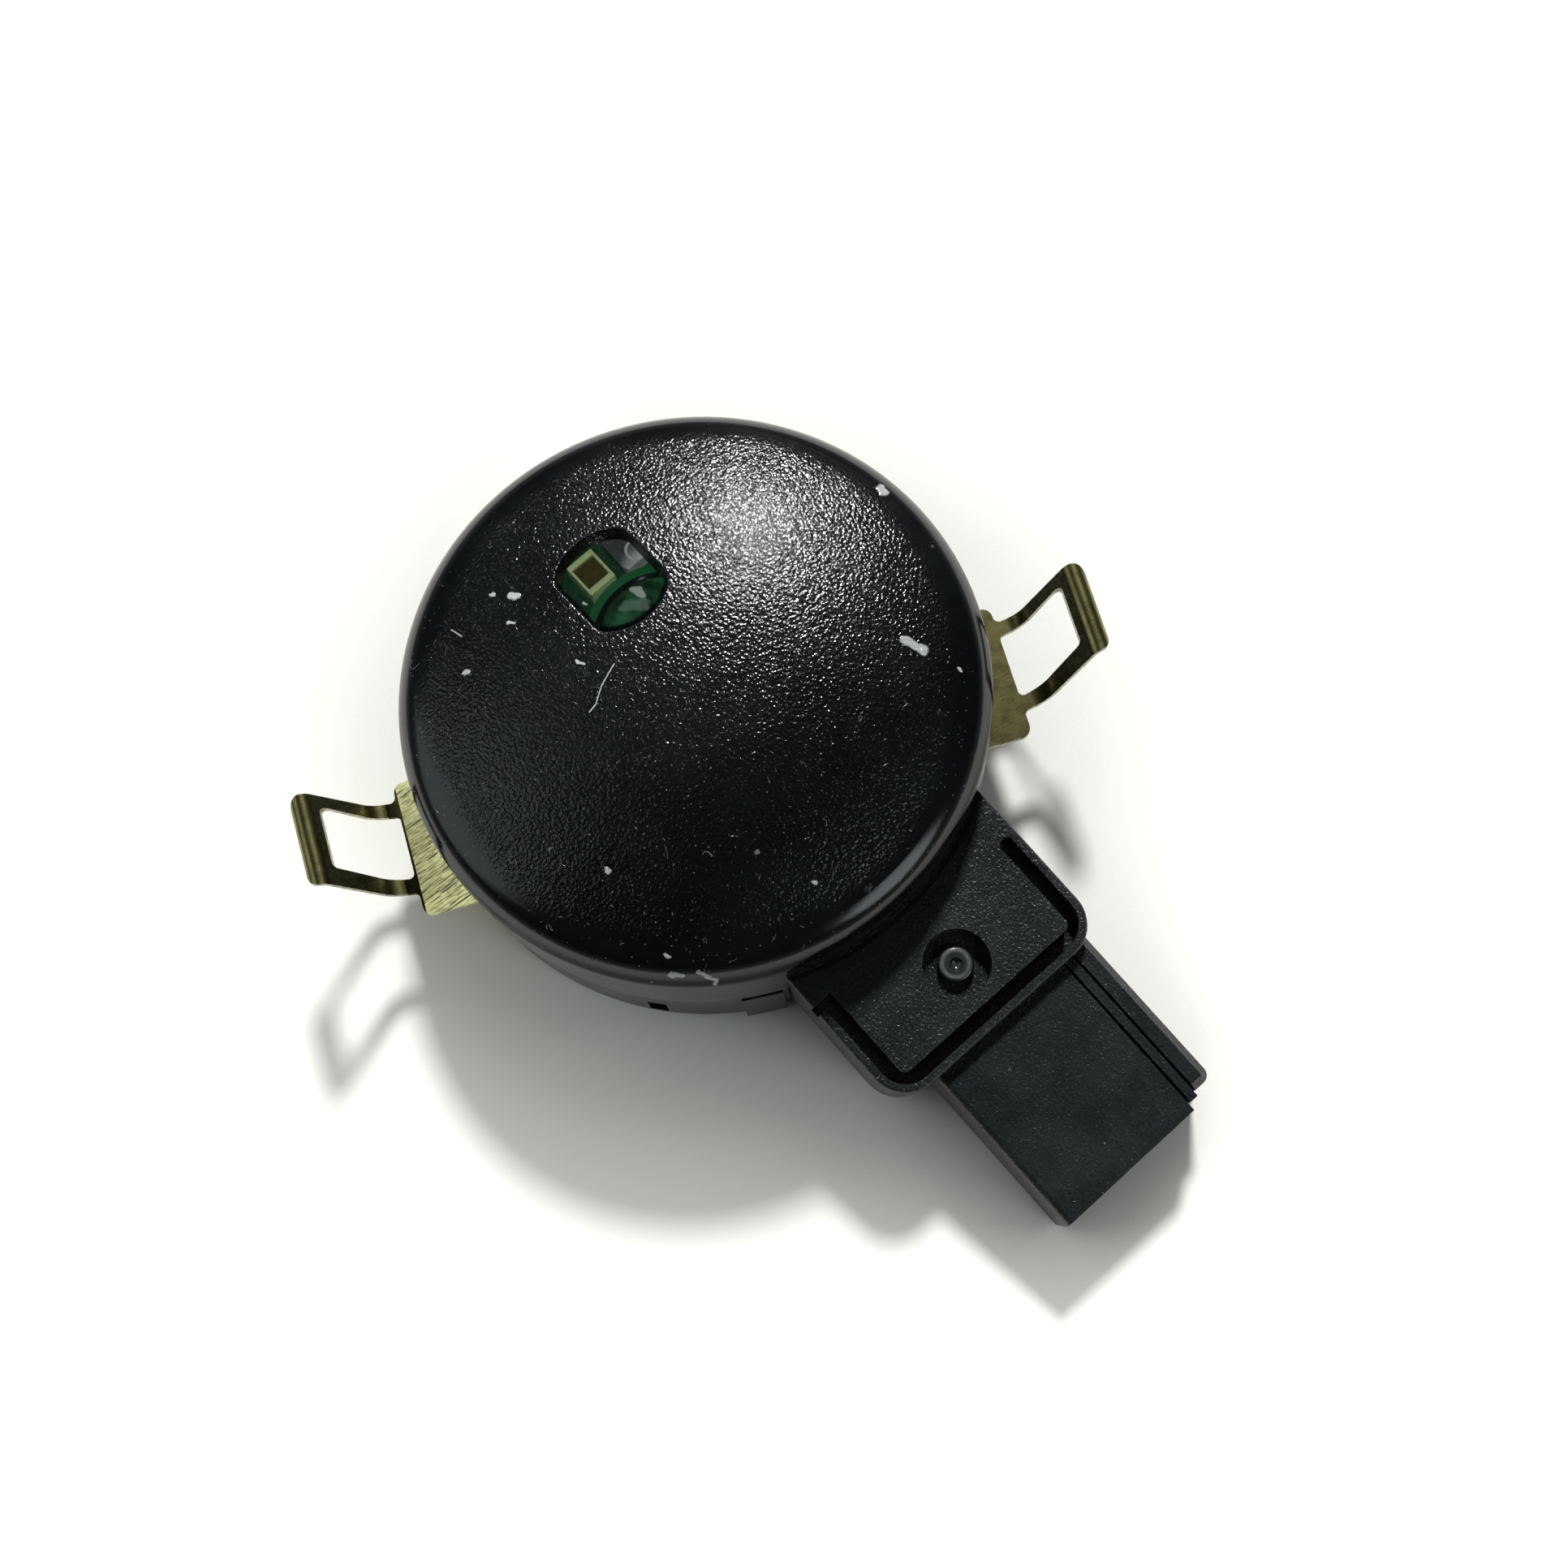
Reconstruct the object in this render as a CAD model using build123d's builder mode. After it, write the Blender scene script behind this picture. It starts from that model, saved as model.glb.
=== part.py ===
from build123d import *
import os
from math import cos, radians, sin, sqrt

# Rain and light sensor, lying on its glass side. Millimetres and degrees.
# Origin: centre of the coupling pad's glass face, on the axis of the round cap.
# +Z points to the cabin side, +X runs out along the neck and the connector.

os.makedirs("parts", exist_ok=True)

# Round cap
cap_radius = 21.1
cap_rim_bottom = 12.3
cap_rim_edge = 0.3
cap_equator = 13.3
cap_edge_radius = 2.5
cap_dome_radius = 52.0
cap_wall = 1.6
cap_spigot_wall = 1.0
cap_spigot_depth = 1.2
spigot_clearance = 0.1

# Oval light window in the cap, with a clear pane in a boss behind it
window_x = -8.59
window_y = 0.44
window_diameter = 8.0
window_flats = 6.3
window_corner = 1.2
window_edge = 0.15
pane_radius = 5.1
pane_thickness = 1.2
pane_clearance = 0.05
pane_gap = 1.3
pane_boss_wall = 1.1

# Housing wall and the joint line under it
wall_inset = 0.15
wall = 1.2
joint_top = 6.8
joint_gap = 0.4

# Circuit board, its ledge and its two pegs
board_edge_gap = 1.95
board_thickness = 1.2
board_top = 11.2
ledge_width = 0.8
ledge_thickness = 1.2
peg_inset = 2.2
peg_radius = 0.8
peg_clearance = 0.1
peg_stand = 0.8
peg_lug_radius = 2.3
peg_angle = 100.0

# Sloping neck between the wall and the connector
neck_slope = 8.0
neck_top = 10.34
neck_length = 10.35
neck_y = 1.0
neck_width = 19.1
neck_depth = 6.7
neck_corner = 2.8
neck_edge = 0.25
neck_rim = 0.63
neck_groove = 1.05
neck_groove_depth = 1.5
neck_groove_start = 1.0
neck_groove_corner = 0.55
neck_groove_end = 0.47
rim_notch = 0.7
recess_u = 5.35
recess_y = 1.1
recess_radius = 2.45
recess_depth = 1.3

# Hollow inside the neck, closed from below by the tongue of the base
hollow_wall = 2.55
hollow_end_wall = 1.8
hollow_roof = 2.6
tongue_thickness = 1.4
tongue_clearance = 0.15

# Connector shroud with a rib and a key block along one side
connector_length = 13.52
connector_step = 1.1
connector_depth = 5.6
connector_y = 0.8
connector_width = 12.0
connector_edge = 0.55
shroud_wall = 0.9
shroud_side_wall = 1.0
socket_depth = 9.5
rib_gap = 0.22
rib_gap_depth = 0.8
rib_width = 0.64
rib_setback = 0.56
key_width = 1.52
key_setback = 0.88
key_corner = 0.7

# Terminals
pin_count = 3
pin_pitch = 2.54
pin_size = 0.63
pin_recess = 2.0
pin_clearance = 0.02
pin_board_inset = 2.3
pin_stand = 0.9
pin_bend = 0.9
pin_point = 0.15
pin_hole_clearance = 0.06

# Carrier that holds the terminals, staked through the neck
carrier_start = 1.55
carrier_length = 6.0
carrier_width = 9.0
carrier_depth = 2.3
post_radius = 0.85
post_clearance = 0.1
stake_radius = 1.3
stake_height = 0.75
stake_edge = 0.3
stake_dimple = 0.55

# Optic base, lens and coupling pad
base_inset = 0.25
base_bottom = 0.4
base_wall = 2.7
base_edge = 0.25
base_clearance = 0.15
step_width = 0.5
floor_thickness = 1.2
lens_rim = 3.3
lens_thickness = 1.8
lens_pocket = 3.0
lens_clearance = 0.1
pad_inset = 1.4
pad_edge = 0.3
passage_margin = 0.6
notch_angles = (-51.2, 128.8, 190.0)
notch_width = 1.4
notch_top = 3.6
notch_depth = 0.6
notch_lip = 0.6
lug_angles = (-29.4, 150.6)
lug_width = 3.0
lug_height = 5.9
lug_proud = 0.3

# Optical channels between the board and the glass
emitter_count = 3
emitter_ring_radius = 9.5
emitter_start_angle = 30.0
receiver_count = 2
receiver_ring_radius = 3.5
receiver_start_angle = 90.0
channel_radius = 2.6
channel_wall = 0.7
channel_gap = 1.8
bump_radius = 2.3

# Light sources and receivers under the board
emitter_length = 3.2
emitter_width = 2.8
emitter_height = 0.9
emitter_dome = 1.1
receiver_length = 4.2
receiver_width = 3.2
receiver_height = 1.1
receiver_die = 2.4
die_depth = 0.2

# Light sensing parts on the board, seen through the window
ambient_x = -12.2
ambient_y = 0.57
ambient_length = 2.8
ambient_width = 2.3
ambient_height = 1.7
ambient_die = 1.9
infrared_x = -12.3
infrared_y = 4.3
infrared_size = 3.5
infrared_height = 1.5
infrared_corner = 0.5
dome_x = -5.0
dome_y = 1.25
dome_flange_radius = 5.75
dome_flange_height = 1.0
dome_radius = 4.8
dome_rise = 1.3
dome_groove = 0.3
dome_groove_depth = 0.5

# Other parts on the board
chip_x = 4.5
chip_y = -8.2
chip_size = 7.0
chip_height = 1.1
chip_leads = 8
chip_pitch = 0.65
lead_width = 0.3
lead_reach = 0.9
lead_thickness = 0.15
transceiver_x = 6.5
transceiver_y = 8.2
transceiver_length = 5.0
transceiver_width = 4.0
transceiver_height = 1.2
transceiver_leads = 4
transceiver_pitch = 1.27
regulator_x = -3.5
regulator_inset = 5.8
regulator_length = 3.0
regulator_width = 1.7
regulator_height = 1.0
regulator_pitch = 1.9
crystal_x = 7.5
crystal_y = 1.0
crystal_length = 5.0
crystal_width = 3.2
crystal_height = 1.0
crystal_corner = 0.6
small_part_count = 4
small_part_pitch = 2.6
capacitor_x = -6.5
capacitor_inset = 7.3
capacitor_length = 2.0
capacitor_width = 1.25
capacitor_height = 1.0
resistor_x = 3.4
resistor_inset = 4.6
resistor_length = 1.6
resistor_width = 0.8
resistor_height = 0.45

# Spring clips: insets and reaches are measured from the edge of the base
clip_angle = 64.9
clip_shift = 3.08
clip_slide = -0.28
clip_tail_inset = 3.5
clip_shoulder_reach = 2.3
clip_bend_reach = 4.2
clip_top_reach = 7.95
clip_rise = 6.4
clip_lip = 0.8
clip_lip_drop = 0.9
clip_bend_radius = 1.8
clip_top_radius = 0.7
clip_root_width = 10.4
clip_root_corner = 0.8
clip_shoulder_step = 1.65
clip_arm_offset = 0.25
clip_taper = 0.12
clip_tip_lean = 1.0
clip_tip_corner = 0.9
clip_throat = 0.45
clip_rail = 1.1
clip_window_reach = 7.0
clip_window_corner = 0.4
clip_hole_inset = 2.5
clip_hole_radius = 0.6
clip_peg_clearance = 0.1
clip_peg_height = 0.9
clip_pocket_clearance = 0.15

# Radii and heights that follow from the sizes above
wall_radius = cap_radius - wall_inset
bore_radius = wall_radius - wall
base_radius = wall_radius - base_inset
base_bore = base_radius - base_wall
step_radius = base_radius - step_width
joint_bottom = joint_top - joint_gap
board_bottom = board_top - board_thickness
lens_top = base_bottom + lens_pocket
lens_bottom = lens_top - lens_thickness
floor_top = lens_top + floor_thickness
channel_top = board_bottom - channel_gap
board_radius = bore_radius - board_edge_gap
peg_ring_radius = board_radius - peg_inset
lens_radius = base_radius - lens_rim
pad_radius = lens_radius - pad_inset
pin_board_x = board_radius - pin_board_inset
regulator_y = board_radius - regulator_inset
capacitor_y = capacitor_inset - board_radius
resistor_y = board_radius - resistor_inset

crown_reach = cap_dome_radius - cap_edge_radius
dome_centre = cap_equator - sqrt(crown_reach**2 - (cap_radius - cap_edge_radius) ** 2)
cap_apex = dome_centre + cap_dome_radius
cap_undercut = cap_edge_radius - sqrt(cap_edge_radius**2 - (cap_equator - cap_rim_bottom) ** 2)
cap_rim_radius = cap_radius - cap_undercut
inner_dome_radius = cap_dome_radius - cap_wall
inner_side = bore_radius - spigot_clearance - cap_spigot_wall
pane_bottom = board_top + dome_flange_height + dome_rise + pane_gap
pane_top = pane_bottom + pane_thickness

# Plane of the neck's top face: X down the slope, Y across, Z out of the face
slope_cos = cos(radians(neck_slope))
slope_sin = sin(radians(neck_slope))
neck_plane = Plane(
    origin=(wall_radius, 0, neck_top),
    x_dir=(slope_cos, 0, -slope_sin),
    z_dir=(slope_sin, 0, slope_cos),
)
neck_reach = sqrt(bore_radius**2 - (neck_width / 2 + abs(neck_y)) ** 2)
neck_root = (neck_reach - wall_radius) / slope_cos - wall
hollow_end = neck_length - hollow_end_wall
hollow_width = neck_width - 2 * hollow_wall
connector_end = neck_length + connector_length
connector_left = connector_y - connector_width / 2
connector_right = connector_y + connector_width / 2
rib_right = connector_right + rib_gap + rib_width
key_right = rib_right + rib_gap + key_width
socket_back = connector_end - socket_depth

pin_depth = connector_step + connector_depth / 2
pin_slot = pin_size + 2 * pin_clearance
pins_y = [connector_y + (i - (pin_count - 1) / 2) * pin_pitch for i in range(pin_count)]
pin_wall_z = neck_top - pin_depth * slope_cos
passage_width = (pin_count - 1) * pin_pitch + pin_size + 2 * passage_margin
passage_floor = pin_wall_z - pin_size / 2 - passage_margin


# Cover cap: domed shell with a rounded edge, a spigot and the window boss

with BuildPart() as cap_inside:
    with BuildSketch(Plane.XZ):
        with BuildLine():
            inner_height = dome_centre + sqrt(inner_dome_radius**2 - inner_side**2)
            TangentArc(
                (0, dome_centre + inner_dome_radius),
                (inner_side, inner_height),
                tangent=(1, 0),
            )
            Polyline(
                (inner_side, inner_height),
                (inner_side, cap_rim_bottom),
                (0, cap_rim_bottom),
                (0, dome_centre + inner_dome_radius),
            )
        make_face()
    revolve(axis=Axis.Z)
    # The boss is left standing in the inside space
    with BuildSketch(Plane.XY.offset(pane_bottom)):
        with Locations((window_x, window_y)):
            Circle(pane_radius + pane_clearance + pane_boss_wall)
    extrude(amount=cap_apex - pane_bottom, mode=Mode.SUBTRACT)

with BuildPart() as cover_cap:
    with BuildSketch(Plane.XZ) as cap_section:
        with BuildLine():
            edge_end = (
                (cap_radius - cap_edge_radius) * cap_dome_radius / crown_reach,
                dome_centre + (cap_equator - dome_centre) * cap_dome_radius / crown_reach,
            )
            edge_arc = ThreePointArc((cap_rim_radius, cap_rim_bottom), (cap_radius, cap_equator), edge_end)
            TangentArc(edge_end, (0, cap_apex), tangent=edge_arc % 1)
            Polyline((0, cap_apex), (0, cap_rim_bottom), (cap_rim_radius, cap_rim_bottom))
        make_face()
        rim_corner = cap_section.vertices().sort_by_distance((cap_rim_radius, cap_rim_bottom))[0]
        fillet(rim_corner, radius=cap_rim_edge)
    revolve(axis=Axis.Z)
    add(cap_inside.part, mode=Mode.SUBTRACT)
    with BuildSketch(Plane.XY.offset(cap_rim_bottom)):
        Circle(bore_radius - spigot_clearance)
        Circle(inner_side, mode=Mode.SUBTRACT)
    extrude(amount=-cap_spigot_depth)
    with BuildSketch(Plane.XY.offset(pane_bottom)):
        with Locations((window_x, window_y)):
            Circle(pane_radius + pane_clearance)
    extrude(amount=pane_thickness, mode=Mode.SUBTRACT)
    with BuildSketch(Plane.XY.offset(pane_top)) as window_hole:
        with Locations((window_x, window_y)):
            Circle(window_diameter / 2)
            Rectangle(window_diameter, window_flats, mode=Mode.INTERSECT)
        fillet(window_hole.vertices(), radius=window_corner)
    extrude(amount=cap_apex - pane_top, mode=Mode.SUBTRACT)
    window_top = cover_cap.edges(Select.LAST).filter_by(
        lambda edge: edge.center().Z > cap_apex - cap_wall - window_edge
    )
    fillet(window_top, radius=window_edge)

cover_cap.part.label = "cover_cap"
export_step(cover_cap.part, "parts/cover_cap.step")


# Clear pane behind the window

with BuildPart() as light_window:
    with BuildSketch(Plane.XY.offset(pane_bottom)):
        with Locations((window_x, window_y)):
            Circle(pane_radius)
    extrude(amount=pane_thickness)

light_window.part.label = "light_window"
export_step(light_window.part, "parts/light_window.step")


# Housing: wall, board ledge, neck and connector shroud in one moulding

with BuildPart() as neck_block:
    with BuildSketch(neck_plane) as neck_outline:
        with Locations(((neck_root + neck_length) / 2, neck_y)):
            Rectangle(neck_length - neck_root, neck_width)
        fillet(neck_outline.vertices().group_by(Axis.X)[-1], radius=neck_corner)
    extrude(amount=-neck_depth)
    neck_face = neck_block.faces().sort_by(Axis(neck_plane.origin, neck_plane.z_dir))[-1]
    fillet(neck_face.edges(), radius=neck_edge)

with BuildPart() as shroud_block:
    with BuildSketch(neck_plane.offset(-connector_step)):
        with Locations((hollow_end, connector_left)):
            Rectangle(connector_end - hollow_end, connector_width, align=(Align.MIN, Align.MIN))
    extrude(amount=-connector_depth)
    shroud_top = shroud_block.faces().sort_by(Axis(neck_plane.origin, neck_plane.z_dir))[-1]
    fillet(shroud_top.edges().sort_by(Axis.Y)[0], radius=connector_edge)

with BuildPart() as key_block:
    with BuildSketch(neck_plane.offset(-connector_step)) as key_outline:
        with Locations((hollow_end, connector_right)):
            Rectangle(
                connector_end - key_setback - hollow_end,
                key_right - connector_right,
                align=(Align.MIN, Align.MIN),
            )
        outer_corner = key_outline.vertices().group_by(Axis.X)[-1].sort_by(Axis.Y)[-1]
        fillet(outer_corner, radius=key_corner)
    extrude(amount=-connector_depth)
    key_top = key_block.faces().sort_by(Axis(neck_plane.origin, neck_plane.z_dir))[-1]
    chamfer(key_top.edges().sort_by(Axis.Y)[-1], length=connector_edge)

with BuildPart() as housing:
    with BuildSketch(Plane.XY.offset(joint_top)):
        Circle(wall_radius)
    extrude(amount=cap_rim_bottom - joint_top)
    add(neck_block.part)
    add(shroud_block.part)
    add(key_block.part)
    with BuildSketch(neck_plane.offset(-connector_step)):
        with Locations((hollow_end, connector_right)):
            Rectangle(
                connector_end - rib_setback - hollow_end,
                rib_right - connector_right,
                align=(Align.MIN, Align.MIN),
            )
    extrude(amount=-connector_depth)

    # Inside of the wall, and room for the base below the joint line
    with BuildSketch(Plane.XY):
        Circle(bore_radius)
    extrude(amount=cap_rim_bottom, mode=Mode.SUBTRACT)
    with BuildSketch(Plane.XY):
        Circle(base_radius + base_clearance)
    extrude(amount=joint_top, mode=Mode.SUBTRACT)

    # Ledge with two lugs and pegs for the board
    with BuildSketch(Plane.XY.offset(board_bottom)):
        Circle(bore_radius + wall / 2)
        Circle(board_radius - ledge_width, mode=Mode.SUBTRACT)
        with PolarLocations(peg_ring_radius, 2, start_angle=peg_angle):
            Circle(peg_lug_radius)
    extrude(amount=-ledge_thickness)
    with BuildSketch(Plane.XY.offset(board_bottom)):
        with PolarLocations(peg_ring_radius, 2, start_angle=peg_angle):
            Circle(peg_radius)
    extrude(amount=board_thickness + peg_stand)

    # Hollow of the neck
    with BuildSketch(neck_plane.offset(-neck_depth)):
        with Locations((neck_root, neck_y)):
            Rectangle(hollow_end - neck_root, hollow_width, align=(Align.MIN, Align.CENTER))
    extrude(amount=neck_depth - hollow_roof, mode=Mode.SUBTRACT)

    # Slots for the terminals through the solid end of the neck
    with BuildSketch(neck_plane.offset(-pin_depth - pin_slot / 2)):
        for pin_y in pins_y:
            with Locations((hollow_end - hollow_end_wall / 2, pin_y)):
                Rectangle(
                    socket_back - hollow_end + hollow_end_wall,
                    pin_slot,
                    align=(Align.MIN, Align.CENTER),
                )
    extrude(amount=pin_slot, mode=Mode.SUBTRACT)

    # Socket, open at the end of the shroud
    with BuildSketch(neck_plane.offset(-connector_step - shroud_wall)):
        with Locations((socket_back, connector_y)):
            Rectangle(socket_depth, connector_width - 2 * shroud_side_wall, align=(Align.MIN, Align.CENTER))
    extrude(amount=-(connector_depth - 2 * shroud_wall), mode=Mode.SUBTRACT)

    # Two gaps beside the rib on the shroud
    with BuildSketch(neck_plane.offset(-connector_step)):
        for gap_start in (connector_right, rib_right):
            with Locations((neck_length, gap_start)):
                Rectangle(connector_length, rib_gap, align=(Align.MIN, Align.MIN))
    extrude(amount=-rib_gap_depth, mode=Mode.SUBTRACT)

    # Groove round the neck's face, its round start and the notch in the rim
    with BuildSketch(neck_plane) as groove:
        with Locations((neck_groove_start, neck_y)):
            Rectangle(
                neck_length - neck_rim - neck_groove_start,
                neck_width - 2 * neck_rim,
                align=(Align.MIN, Align.CENTER),
            )
        fillet(groove.vertices().group_by(Axis.X)[-1], radius=neck_corner - neck_rim)
        with BuildSketch(mode=Mode.SUBTRACT) as groove_island:
            with Locations((neck_groove_start - neck_groove, neck_y)):
                Rectangle(
                    neck_length - neck_rim - neck_groove_start,
                    neck_width - 2 * (neck_rim + neck_groove),
                    align=(Align.MIN, Align.CENTER),
                )
            fillet(groove_island.vertices().group_by(Axis.X)[-1], radius=neck_groove_corner)
        round_start = groove.vertices().group_by(Axis.X)[0].sort_by(Axis.Y)[-2:]
        fillet(round_start, radius=neck_groove_end)
        with Locations((neck_groove_start, neck_y - neck_width / 2)):
            Rectangle(rim_notch, neck_rim + neck_groove / 2, align=(Align.MIN, Align.MIN))
    extrude(amount=-neck_groove_depth, mode=Mode.SUBTRACT)

    # Round recess with the hole for the staked post
    with BuildSketch(neck_plane):
        with Locations((recess_u, recess_y)):
            Circle(recess_radius)
    extrude(amount=-recess_depth, mode=Mode.SUBTRACT)
    with BuildSketch(neck_plane):
        with Locations((recess_u, recess_y)):
            Circle(post_radius + post_clearance)
    extrude(amount=-hollow_roof, mode=Mode.SUBTRACT)

housing.part.label = "housing"
export_step(housing.part, "parts/housing.step")


# Terminals: square pins from the socket, up through the board

corner_u = (pin_board_x - wall_radius + pin_depth * slope_sin) / slope_cos
pin_corner = neck_plane.from_local_coords((corner_u, 0, -pin_depth))
pin_end = neck_plane.from_local_coords((connector_end - pin_recess, 0, -pin_depth))

for number, pin_y in enumerate(pins_y, start=1):
    with BuildPart() as terminal:
        with BuildSketch(Plane.XZ.offset(-pin_y)):
            with BuildLine():
                FilletPolyline(
                    (pin_end.X, pin_end.Z),
                    (pin_corner.X, pin_corner.Z),
                    (pin_corner.X, board_top + pin_stand),
                    radius=pin_bend,
                )
            trace(line_width=pin_size)
        extrude(amount=pin_size / 2, both=True)
        chamfer(terminal.faces().sort_by(Axis.X)[-1].edges(), length=pin_point)
        chamfer(terminal.faces().sort_by(Axis.Z)[-1].edges(), length=pin_point)

    terminal.part.label = f"terminal_pin_{number}"
    export_step(terminal.part, f"parts/terminal_pin_{number}.step")


# Terminal carrier, whose post is staked over in the neck's recess

with BuildPart() as terminal_carrier:
    with BuildSketch(neck_plane.offset(-hollow_roof)):
        with Locations((carrier_start, connector_y)):
            Rectangle(carrier_length, carrier_width, align=(Align.MIN, Align.CENTER))
    extrude(amount=-carrier_depth)
    with BuildSketch(neck_plane.offset(-hollow_roof)):
        with Locations((recess_u, recess_y)):
            Circle(post_radius)
    extrude(amount=hollow_roof - recess_depth)
    with BuildSketch(neck_plane.offset(-recess_depth)):
        with Locations((recess_u, recess_y)):
            Circle(stake_radius)
    extrude(amount=stake_height)
    stake_face = terminal_carrier.faces().sort_by(Axis(neck_plane.origin, neck_plane.z_dir))[-1]
    fillet(stake_face.edges(), radius=stake_edge)
    with Locations(neck_plane.offset(stake_height - recess_depth + stake_dimple / 2)):
        with Locations((recess_u, recess_y)):
            Sphere(stake_dimple, mode=Mode.SUBTRACT)
    with BuildSketch(neck_plane.offset(-pin_depth - pin_slot / 2)):
        for pin_y in pins_y:
            with Locations((carrier_start, pin_y)):
                Rectangle(carrier_length, pin_slot, align=(Align.MIN, Align.CENTER))
    extrude(amount=pin_slot, mode=Mode.SUBTRACT)

terminal_carrier.part.label = "terminal_carrier"
export_step(terminal_carrier.part, "parts/terminal_carrier.step")


# Spring clips: a root plate, an open rising arm and a bent down lip

clip_out = Vector(cos(radians(clip_angle)), sin(radians(clip_angle)), 0)
clip_foot = clip_out * clip_slide + Vector(clip_shift * clip_out.Y, -clip_shift * clip_out.X, 0)
clip_above = Plane(origin=clip_foot, x_dir=clip_out, z_dir=(0, 0, 1))
clip_side = Plane(origin=clip_foot, x_dir=clip_out, z_dir=(clip_out.Y, -clip_out.X, 0))
clip_mirror = Plane(origin=clip_foot, x_dir=(0, 0, 1), z_dir=clip_out)
sheet_middle = joint_bottom + joint_gap / 2
clip_tail = base_radius - clip_tail_inset
clip_hole_u = base_radius - clip_hole_inset
clip_shoulder = base_radius + clip_shoulder_reach
clip_bend_start = base_radius + clip_bend_reach
clip_top = base_radius + clip_top_reach
clip_window_end = base_radius + clip_window_reach
clip_arm_width = clip_root_width - 2 * clip_shoulder_step
clip_tip_width = clip_arm_width - 2 * clip_taper
clip_reach = clip_top + clip_lip + joint_gap / 4
arm_left = clip_arm_offset + clip_arm_width / 2
arm_right = clip_arm_offset - clip_arm_width / 2
tip_left = clip_arm_offset + clip_tip_lean + clip_tip_width / 2
tip_right = clip_arm_offset + clip_tip_lean - clip_tip_width / 2

with BuildPart() as clip_spring_right:
    with BuildSketch(clip_side):
        with BuildLine():
            FilletPolyline(
                (clip_tail, sheet_middle),
                (clip_bend_start, sheet_middle),
                (clip_top, sheet_middle + clip_rise),
                (clip_top + clip_lip, sheet_middle + clip_rise - clip_lip_drop),
                radius=[clip_bend_radius, clip_top_radius],
            )
        trace(line_width=joint_gap)
    extrude(amount=clip_root_width / 2, both=True)

    # Outline of the blank as seen from above
    with BuildSketch(clip_above) as blank:
        with BuildLine():
            Polyline(
                (clip_tail, clip_root_width / 2),
                (clip_shoulder, clip_root_width / 2),
                (clip_shoulder, arm_left),
                (clip_reach, tip_left),
                (clip_reach, tip_right),
                (clip_shoulder, arm_right),
                (clip_shoulder, -clip_root_width / 2),
                (clip_tail, -clip_root_width / 2),
                close=True,
            )
        make_face()
        shoulder_line = blank.vertices().group_by(Axis.X)[1].sort_by(Axis.Y)
        fillet([shoulder_line[0], shoulder_line[-1]], radius=clip_root_corner)
        for throat_y in (arm_left, arm_right):
            fillet(blank.vertices().sort_by_distance((clip_shoulder, throat_y))[0], radius=clip_throat)
        fillet(blank.vertices().group_by(Axis.X)[-1], radius=clip_tip_corner)
    extrude(amount=cap_apex, mode=Mode.INTERSECT)

    # Window in the arm, and the hole for the base's peg
    with BuildSketch(clip_above) as opening:
        with BuildLine():
            Polyline(
                (clip_shoulder, arm_left - clip_rail),
                (clip_window_end, tip_left - clip_rail),
                (clip_window_end, tip_right + clip_rail),
                (clip_shoulder, arm_right + clip_rail),
                close=True,
            )
        make_face()
        fillet(opening.vertices(), radius=clip_window_corner)
        with Locations((clip_hole_u, 0)):
            Circle(clip_hole_radius)
    extrude(amount=cap_apex, mode=Mode.SUBTRACT)

clip_spring_right.part.label = "clip_spring_right"
export_step(clip_spring_right.part, "parts/clip_spring_right.step")

with BuildPart() as clip_spring_left:
    mirror(clip_spring_right.part, about=clip_mirror)

clip_spring_left.part.label = "clip_spring_left"
export_step(clip_spring_left.part, "parts/clip_spring_left.step")


# Optic base: lower ring, tongue under the neck, floor and light channels

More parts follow.
